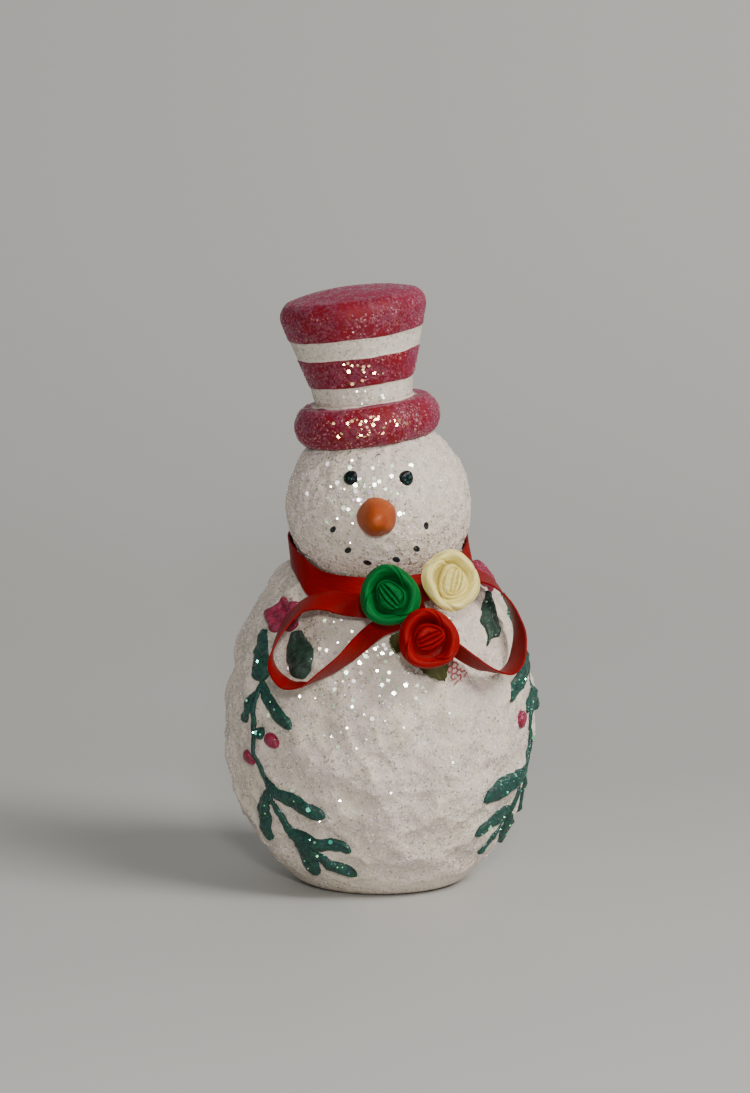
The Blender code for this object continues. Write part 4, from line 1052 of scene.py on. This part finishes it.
def build_ribbon_leaf(label, finish):
    """A satin leaf with a pinked edge: a pointed oval sheet whose outline zigzags, creased along
    its middle and curled a little at its sides."""
    foot_place, tip_place, width = RIBBON_LEAVES[label]
    foot, tip = body_plain(*foot_place), body_plain(*tip_place)
    out = body_normal(np.asarray(tip_place[0]), np.asarray((foot_place[1] + tip_place[1]) / 2))
    side = unit(np.cross(tip - foot, out))
    share = np.linspace(0, 1, 97)
    half = width / 2 * np.maximum(0.06, np.sin(math.pi * share**0.8) ** 0.8)
    pinked = half - 0.32 * np.abs((share * 12) % 2 - 1)
    t = np.linspace(-1, 1, 17)
    section = np.concatenate([t, t[::-1]])
    face = np.concatenate([np.ones(17), -np.ones(17)]) * 0.16
    curl = 0.35 * np.abs(section) ** 1.5 - 0.15
    middle = foot + (tip - foot) * share[:, None]
    reach = section[None] * pinked[:, None]
    grid = middle[:, None] + side * reach[..., None] + out * (face + curl * 0.6)[None, :, None]
    marks = {"along": (share * np.linalg.norm(tip - foot))[:, None], "across": reach}
    make(f"leaf_{label}_satin", [shell(grid, **marks)], finish, ["leaf_under_" + label])


def threads(ends, radius):
    """Thin six-sided threads between pairs of points."""
    start, stop = ends[:, 0], ends[:, 1]
    along = unit(stop - start)
    side = unit(np.cross(along, UP + VIEWER * 0.3))
    up = np.cross(along, side)
    turn = np.linspace(0, 2 * math.pi, 6, endpoint=False)
    ring = (side[:, None] * np.cos(turn)[None, :, None] + up[:, None] * np.sin(turn)[None, :, None]) * radius
    spans = zip(start - along * radius, stop + along * radius, ring)
    return [shell(np.stack([first + section, last + section])) for first, last, section in spans]


def build_net(finish):
    """Hexagonal net: each mesh point joins its three neighbours, over a trapezoid that lies along
    the body and flares towards its torn tip."""
    foot, tip = np.array(NET_FOOT), np.array(NET_TIP)
    aside = NET_CELL * 3**0.5 / 2
    arms = ((0.0, NET_CELL), (-aside, -NET_CELL / 2), (aside, -NET_CELL / 2))
    ends = []
    for row in range(-2, 16):
        for column in range(-6, 7):
            x = column * NET_CELL * 3**0.5 + (row % 2) * NET_CELL * 3**0.5 / 2
            y = row * NET_CELL * 1.5
            ends += [((x, y), (x + right, y + up)) for right, up in arms]
    ends = np.array(ends)
    middle = ends.mean(1)
    reach = 0.9 + 1.25 * middle[:, 1] / NET_LENGTH
    torn = NET_LENGTH - 0.9 + 0.9 * np.sin(middle[:, 0] * 4.3)
    keep = (middle[:, 1] > 0) & (middle[:, 1] < torn) & (np.abs(middle[:, 0]) < reach)
    flat = ends[keep]
    share = flat[..., 1] / NET_LENGTH
    azimuth = foot[0] + (tip[0] - foot[0]) * share + flat[..., 0] / MM_PER_DEGREE * 0.82
    height = foot[1] + (tip[1] - foot[1]) * share + flat[..., 0] * 0.45
    lift = 0.7 + 0.25 * np.sin(flat[..., 0] * 2.1 + flat[..., 1] * 1.3)
    placed = body_plain(azimuth, height, lift)
    make("net_threads", threads(placed, NET_THREAD_RADIUS), finish, ["net_scrap"])


class Sprig:
    """The raised paint on one side of the body."""

    def __init__(self, label):
        self.label = label
        self.side = -1 if label == "left" else 1

    def place(self, spots):
        """Azimuths and heights of the spots."""
        return SPRIG_AZIMUTHS[self.label] - self.side * spots[..., 0], spots[..., 1]

    def stroke(self, spots, widths, rise, seed):
        """A raised stroke: over a path on the snow, a section that is domed above and sunk below,
        with ragged sides and a pebbled top."""
        azimuth, height = self.place(spots)
        middles = on_body(azimuth, height)
        outward = body_normal(azimuth, height)
        across = unit(np.cross(unit(np.gradient(middles, axis=0)), outward))
        ragged = waves(seed, 1.6, 3.6)
        t = np.linspace(-1, 1, 11)
        section = np.concatenate([t, t[-2:0:-1]])
        top = np.concatenate([np.sqrt(1 - np.abs(t) ** 2.6), np.full(len(section) - len(t), -0.35)])
        half = (widths / 2)[:, None] * (1 + 0.06 * swell(middles, ragged))[:, None]
        flat = middles[:, None] + across[:, None] * (half * section[None])[..., None]
        crown = rise * np.minimum(1.0, 0.5 + widths * 0.2)[:, None]
        lift = np.where(top[None] < 0, top[None], crown * top[None])
        pebbles = 0.07 * swell(flat, waves(seed + 1, 0.7, 1.5)) * (top[None] > 0.2)
        return shell(seat_on_body(flat, lift + pebbles))

    def leaf(self, foot, tip, width, bow_out, seed, tail=0.0, run=0.69):
        """A club-shaped stroke: its width follows part of a sine, from near its start over the
        given share of half a turn, so that a longer run narrows the tip. A tail thins it early."""
        foot, tip = np.array(foot), np.array(tip)
        share = np.linspace(0, 1, 36)
        length = tip - foot
        across = np.array([length[1] / MM_PER_DEGREE, -length[0] * MM_PER_DEGREE])
        spots = foot + length * share[:, None] + across * (bow_out * np.sin(math.pi * share))[:, None]
        widths = 1.08 * width * np.sin(math.pi * (0.12 + run * share**1.3)) ** 0.9
        widths = widths * (1 - tail * ease((share - 0.66) / 0.2))
        rounded = np.sqrt(np.clip(1 - (np.maximum(share, 0.86) - 0.86) ** 2 / 0.14**2, 0.02, 1))
        return self.stroke(spots, widths * rounded, LEAF_RISE, seed)

    def stem(self):
        """The stem's stroke, through its spots."""
        weights = np.array([MM_PER_DEGREE, 1, 1])
        stations = smooth_line(np.array(STEMS[self.label]) * weights, 90) / weights
        return self.stroke(stations[:, :2], stations[:, 2], STEM_RISE, 131)

    def dome(self, spot, edge, outline, rise):
        """A button at a spot, with its own edge and outline."""
        azimuth, height = self.place(np.array(spot))
        foot, outward = body_plain(azimuth, height), body_normal(azimuth, height)
        return button(seat_on_body, foot, outward, edge, outline, rise, 48, 0.35)


def oval_edge(half_width, half_height, turn):
    """Radius of an oval at a turn."""
    return half_width * half_height / np.hypot(half_height * np.cos(turn), half_width * np.sin(turn))


def build_mistletoe(sprig, finish):
    """The stem with its leaves, as overlapping strokes of one piece."""
    strokes = [sprig.stem()]
    for k, leaf in enumerate(SPRIG_LEAVES[sprig.label]):
        strokes.append(sprig.leaf(*leaf, 140 + 3 * k))
    make(f"sprig_{sprig.label}_paint", strokes, finish, ["sprig_" + sprig.label])


def build_broad_leaf(sprig, finish):
    """The broad leaf under the blossom: one wide stroke."""
    foot, tip, width, tail = HOLLY_LEAVES[sprig.label]
    leaf = sprig.leaf(foot, tip, width, 0.0, 190, tail, 0.8)
    make(f"holly_leaf_{sprig.label}_paint", [leaf], finish, ["holly_leaf_" + sprig.label])


def petal_edge(turn):
    """The blossom's outline: an oval with five lobes, and eleven small ones over them."""
    lobes = 0.87 + 0.13 * np.cos(5 * turn + 0.6) + 0.03 * np.cos(11 * turn)
    return oval_edge(BLOSSOM_HALF_WIDTH, BLOSSOM_HALF_HEIGHT, turn) * lobes


def build_blossom(sprig, finish):
    """The blossom: raised petals round a hollow with a bead of paint in it, pebbled all over."""
    outline = ((1.0, 0.4), (0.9, 0.85), (0.72, 1.0), (0.5, 0.72), (0.34, 0.6), (0.18, 0.95), (0.04, 1.05))
    grid = sprig.dome(BLOSSOM_SPOTS[sprig.label], petal_edge, outline, BLOSSOM_RISE)
    grid = grid + unit(grid * [1, 1, 0]) * (0.12 * swell(grid, waves(211, 0.8, 1.8)))[..., None]
    make(f"blossom_{sprig.label}_paint", [shell(grid)], finish, ["blossom_" + sprig.label])


def build_berry(name, sprig, finish):
    """One berry: an oval dome, turned on the snow."""
    spot, half_length, half_width, turned = BERRIES[name][1:]
    round_top = ((1.0, 0.4), (0.85, 0.75), (0.6, 0.93), (0.3, 1.0), (0.05, 1.02))

    def edge(turn):
        return oval_edge(half_length, half_width, turn + sprig.side * math.radians(turned))

    grid = sprig.dome(spot, edge, round_top, BERRY_RISE)
    make(name + "_paint", [shell(grid)], finish, [name])


def flakes(name, points, normals, sizes, tilt, finish, slot, seed):
    """Film flakes as thin six-sided plates: corners at sixths of a turn round each flake's own
    tilted normal, all in one mesh, each with a random tint."""
    draw = np.random.default_rng(seed)
    count = len(points)
    normals = unit(normals + draw.normal(size=(count, 3)) * tilt)
    side = unit(np.cross(normals, draw.normal(size=(count, 3))))
    up = np.cross(normals, side)
    turn = np.linspace(0, 2 * math.pi, 6, endpoint=False)
    ring = side[:, None] * np.cos(turn)[None, :, None] + up[:, None] * np.sin(turn)[None, :, None]
    ring = ring * sizes[:, None, None] / 2
    top = points[:, None] + ring + normals[:, None] * FLAKE_HALF_THICKNESS
    low = points[:, None] + ring - normals[:, None] * FLAKE_HALF_THICKNESS
    corners = np.concatenate([low, top], axis=1).reshape(-1, 3)
    start = (np.arange(count) * 12)[:, None, None]
    k = np.arange(6)
    walls = np.stack([k, (k + 1) % 6, (k + 1) % 6 + 6, k + 6], -1)[None] + start
    fan = np.array([(0, 1, 2), (0, 2, 3), (0, 3, 4), (0, 4, 5)])
    caps = np.concatenate([fan[:, ::-1][None] + start, fan[None] + 6 + start], axis=1)
    tint = np.repeat(draw.uniform(0, 1, count), 12)
    make(name, [(corners, walls.reshape(-1, 4), caps.reshape(-1, 3), {"tint": tint})], finish)


def hat_points(azimuth, radius, height):
    """Points and outward directions on the tipped hat at azimuths, for its radius and height."""
    middle, axis = hat_frame()[:2]
    level = around(azimuth)
    level = unit(level - axis * (level @ axis)[:, None])
    return middle + level * radius[:, None] + axis * height[:, None], level


def brim_points(azimuth, up, lift=0.0):
    """Points and outward directions on the brim, at angles up round its ring."""
    radius = BRIM_RING_RADIUS + BRIM_HALF_THICKNESS * np.cos(up) + lift
    return hat_points(azimuth, radius, BRIM_HALF_THICKNESS * np.sin(up))


def body_glitter(draw, finish, count=5600):
    """Small flakes all over the body, at even azimuths and heights."""
    azimuth = draw.uniform(-180, 180, count)
    z = draw.uniform(5, 62, count)
    points, outward = on_body(azimuth, z, FLAKE_LIFT), body_normal(azimuth, z)
    flakes("body_flakes", points, outward, draw.uniform(0.25, 0.55, count), FLAKE_TILT, finish, "snow", 302)


def head_glitter(draw, finish, count=2400):
    """Small flakes all over the head, and off the dots of the smile."""
    height = draw.uniform(-0.55, 0.7, count)
    turn = draw.uniform(-180, 180, count)
    outward = around(turn) * np.sqrt(1 - height**2)[:, None] + UP * height[:, None]
    smile = np.array([head_outward(azimuth, elevation) for azimuth, elevation, slope in SMILE])
    outward = outward[(outward @ smile.T).max(1) < math.cos(1.0 / HEAD_RADIUS)]
    points = seat_on_head(HEAD_CENTRE + outward, np.full(len(outward), FLAKE_LIFT))
    sizes = draw.uniform(0.25, 0.5, len(outward))
    flakes("head_flakes", points, outward, sizes, FLAKE_TILT, finish, "snow", 303)


def hat_glitter(draw, finish, count=700):
    """Small flakes on the brim, and as many on the red of the crown."""
    turn = draw.uniform(-180, 180, count)
    up = np.radians(draw.uniform(-50, 60, count))
    brim, level = brim_points(turn, up)
    normals = level * np.cos(up)[:, None] + UP * np.sin(up)[:, None]
    height = np.append(draw.uniform(8.1, 13.3, 300), draw.uniform(17.6, 22.5, 400))
    profile = smooth_line((*CROWN_SIDE, (CROWN_TOP_RADIUS - 0.1, SHOULDER_HEIGHT), (13.9, 22.6)), 60)
    radius = np.interp(height, profile[:, 1], profile[:, 0])
    crown, outward = hat_points(draw.uniform(-180, 180, count), radius, height)
    points, outward = np.vstack([brim, crown]), np.vstack([normals, outward])
    sizes = draw.uniform(0.25, 0.5, 2 * count)
    flakes("hat_flakes", points, outward, sizes, FLAKE_TILT, finish, "hat_glitter", 304)


def scatter(draw, name, points, finish, slot, largest):
    """Bigger flakes at the points that happen to face the front, few of them near the largest."""
    sizes = draw.uniform(0.45, largest, len(points)) ** 1.5
    flakes(name, points, np.broadcast_to(GLINT_WAY, points.shape), sizes, 0.07, finish, slot, 402)


def body_glints(draw, finish):
    """A cluster under the bow, and a loose one lower down."""
    azimuth = np.append(draw.normal(-5, 16, 120), draw.normal(-6, 24, 24))
    z = np.append(np.clip(draw.normal(48, 6, 120), 34, 57), draw.normal(32, 8, 24))
    scatter(draw, "body_glints", on_body(azimuth, z, 0.05), finish, "snow", 0.95)


def head_glints(draw, finish):
    """A cluster over the middle of the face, and off the nose."""
    spots = zip(draw.normal(-6, 15, 75), draw.normal(12, 13, 75))
    outward = np.array([head_outward(azimuth, elevation) for azimuth, elevation in spots])
    away_from_nose = (outward @ unit(NOSE_WAY)) < 0.975
    points = seat_on_head(HEAD_CENTRE + outward[away_from_nose], 0.1)
    scatter(draw, "head_glints", points, finish, "snow", 1.05)


def hat_glints(draw, gold, pearl):
    """Gold glints on the front of the brim and the lower red, and pearl ones on the lower stripe."""
    up = np.radians(draw.uniform(-15, 35, 40))
    brim = brim_points(draw.normal(2, 13, 40), up, 0.05)[0]
    height = draw.uniform(8.4, 13.0, 14)
    crown = hat_points(draw.normal(0, 16, 14), np.interp(height, (8.0, 13.6), (10.45, 12.1)), height)[0]
    scatter(draw, "hat_glints", np.vstack([brim, crown]), gold, "hat_glitter", 0.85)
    height = draw.uniform(4.6, 7.4, 14)
    stripe = hat_points(draw.normal(8, 14, 14), np.interp(height, (4.0, 8.0), (9.7, 10.3)), height)[0]
    scatter(draw, "stripe_glints", stripe, pearl, "hat_glitter", 0.8)


def sprig_glints(draw, sprig, finish):
    """Two glints somewhere along every leaf of a sprig, and its brightest ones."""
    ends = np.array([leaf[:2] for leaf in SPRIG_LEAVES[sprig.label]])
    share = draw.uniform(0.15, 0.9, (len(ends), 2, 1))
    spots = (ends[:, :1] + (ends[:, 1:] - ends[:, :1]) * share).reshape(-1, 2)
    brightest = np.array(SPRIG_GLINTS[sprig.label])
    points = on_body(*sprig.place(np.vstack([spots, brightest[:, :2]])), LEAF_RISE)
    sizes = np.append(draw.uniform(0.3, 0.55, len(spots)), brightest[:, 2])
    facing = np.broadcast_to(GLINT_WAY, points.shape)
    flakes(f"sprig_{sprig.label}_glints", points, facing, sizes, 0.05, finish, "sprig_green", 403)


def build_glitter():
    """All the flakes: the small ones, then the glints."""
    draw = np.random.default_rng(301)
    pearl = flake_finish("pearl flakes", (0.80, 0.66, 0.70), (0.74, 0.74, 0.62))
    body_glitter(draw, pearl)
    head_glitter(draw, pearl)
    hat_glitter(draw, flake_finish("pink flakes", (0.30, 0.03, 0.09), (0.46, 0.17, 0.13), 0.3))
    draw = np.random.default_rng(401)
    pearl = flake_finish("pearl glints", (0.90, 0.70, 0.86), (0.62, 0.95, 0.52), 0.18, 0.55)
    gold = flake_finish("gold glints", (0.95, 0.50, 0.25), (0.95, 0.78, 0.30), 0.2, 0.8)
    green = flake_finish("green glints", (0.05, 0.55, 0.40), (0.40, 0.80, 0.35), 0.18, 0.6)
    body_glints(draw, pearl)
    head_glints(draw, pearl)
    hat_glints(draw, gold, pearl)
    for label in SPRIG_AZIMUTHS:
        sprig_glints(draw, Sprig(label), green)


def build_stage():
    """A pale floor that sweeps up into a plain backdrop."""
    profile = smooth_line(FLOOR_PROFILE, 80)
    x = np.array([-2.0, 2.0])
    grid = np.zeros((len(profile), 2, 3))
    grid[..., 0], grid[..., 1], grid[..., 2] = x[None], profile[:, :1], profile[:, 1:]
    at = np.arange(len(profile) * 2).reshape(-1, 2)
    faces = np.stack([at[:-1, 0], at[:-1, 1], at[1:, 1], at[1:, 0]], -1)
    mesh = bpy.data.meshes.new("floor")
    mesh.from_pydata(grid.reshape(-1, 3).tolist(), [], faces.tolist())
    mesh.shade_smooth()
    made, recipe, shader = start_finish("pale floor", Roughness=0.6, Specular_IOR_Level=0.25)
    shader["Base Color"].default_value = (0.50, 0.50, 0.48, 1.0)
    mesh.materials.append(made)
    floor = bpy.data.objects.new("floor", mesh)
    bpy.context.scene.collection.objects.link(floor)


def light(name, place, target, size, power, colour):
    """A square area light at a place, turned to a target."""
    data = bpy.data.lights.new(name, "AREA")
    data.size, data.energy, data.color = size, power, colour
    made = bpy.data.objects.new(name, data)
    made.location = place
    aim = np.array(target) - np.array(place)
    pitch = math.acos(-aim[2] / np.linalg.norm(aim))
    made.rotation_euler = (pitch, 0.0, math.atan2(aim[1], aim[0]) - math.pi / 2)
    bpy.context.scene.collection.objects.link(made)


def build_light():
    """A soft key from above on the right, a small one above the camera that wakes the glitter,
    and an even, slightly blue surround."""
    light("key", (0.72, -0.55, 0.78), (0.0, 0.0, 0.05), 0.5, 14.0, (1.0, 0.97, 0.93))
    light("sparkle", (0.04, -0.75, 0.30), (0.0, 0.0, 0.07), 0.08, 2.6, (1.0, 0.98, 0.95))
    world = bpy.data.worlds.new("surround")
    bpy.context.scene.world = world
    world.use_nodes = True
    background = world.node_tree.nodes["Background"]
    background.inputs["Color"].default_value = (0.92, 0.95, 1.0, 1.0)
    background.inputs["Strength"].default_value = 0.235


def build_camera():
    """The photograph's view: from the front, a little above, looking 6.3 degrees down."""
    data = bpy.data.cameras.new("camera")
    data.lens, data.sensor_width = 100.22, 36.0
    made = bpy.data.objects.new("camera", data)
    made.location = (-0.0010934, -0.600, 0.133)
    made.rotation_euler = (math.radians(90 - 6.262), 0.0, 0.0)
    bpy.context.scene.collection.objects.link(made)
    bpy.context.scene.camera = made


def main():
    build_camera()
    build_body()
    build_head()
    build_hat()
    build_nose(carrot_finish())
    bead = bead_finish()
    for label in EYE_AZIMUTHS:
        build_eye(label, bead)
    red_satin = satin_finish("red satin ribbon", (0.17, 0.0, 0.0), (0.25, 0.0, 0.0005))
    build_neck_ribbon(red_satin)
    build_bow(red_satin)
    build_rose("green", satin_finish("green satin", (0.0, 0.08, 0.013), (0.0, 0.155, 0.028), True))
    build_rose("cream", satin_finish("cream satin", (0.80, 0.64, 0.14), (0.97, 0.88, 0.40), True))
    build_rose("red", satin_finish("red satin", (0.20, 0.0, 0.0), (0.32, 0.0, 0.0005), True))
    olive = satin_finish("olive satin", (0.024, 0.026, 0.005), (0.065, 0.060, 0.012))
    for label in RIBBON_LEAVES:
        build_ribbon_leaf(label, olive)
    build_net(net_finish())
    green = glitter_paint(
        "sprig paint", (0.004, 0.028, 0.020), (0.009, 0.068, 0.042),
        (0.012, 0.12, 0.065), (0.04, 0.09, 0.12), 0.5,
    )
    dark_green = glitter_paint(
        "leaf paint", (0.010, 0.030, 0.018), (0.024, 0.060, 0.040),
        (0.03, 0.10, 0.06), (0.10, 0.12, 0.12), 0.45,
    )
    red = glitter_paint(
        "blossom paint", (0.17, 0.003, 0.014), (0.30, 0.009, 0.040),
        (0.40, 0.040, 0.12), (0.30, 0.09, 0.17), 0.5,
    )
    for label in SPRIG_AZIMUTHS:
        sprig = Sprig(label)
        build_mistletoe(sprig, green)
        build_broad_leaf(sprig, dark_green)
        build_blossom(sprig, red)
        for name, berry in BERRIES.items():
            if berry[0] == label:
                build_berry(name, sprig, red)
    build_glitter()
    build_stage()
    build_light()


main()
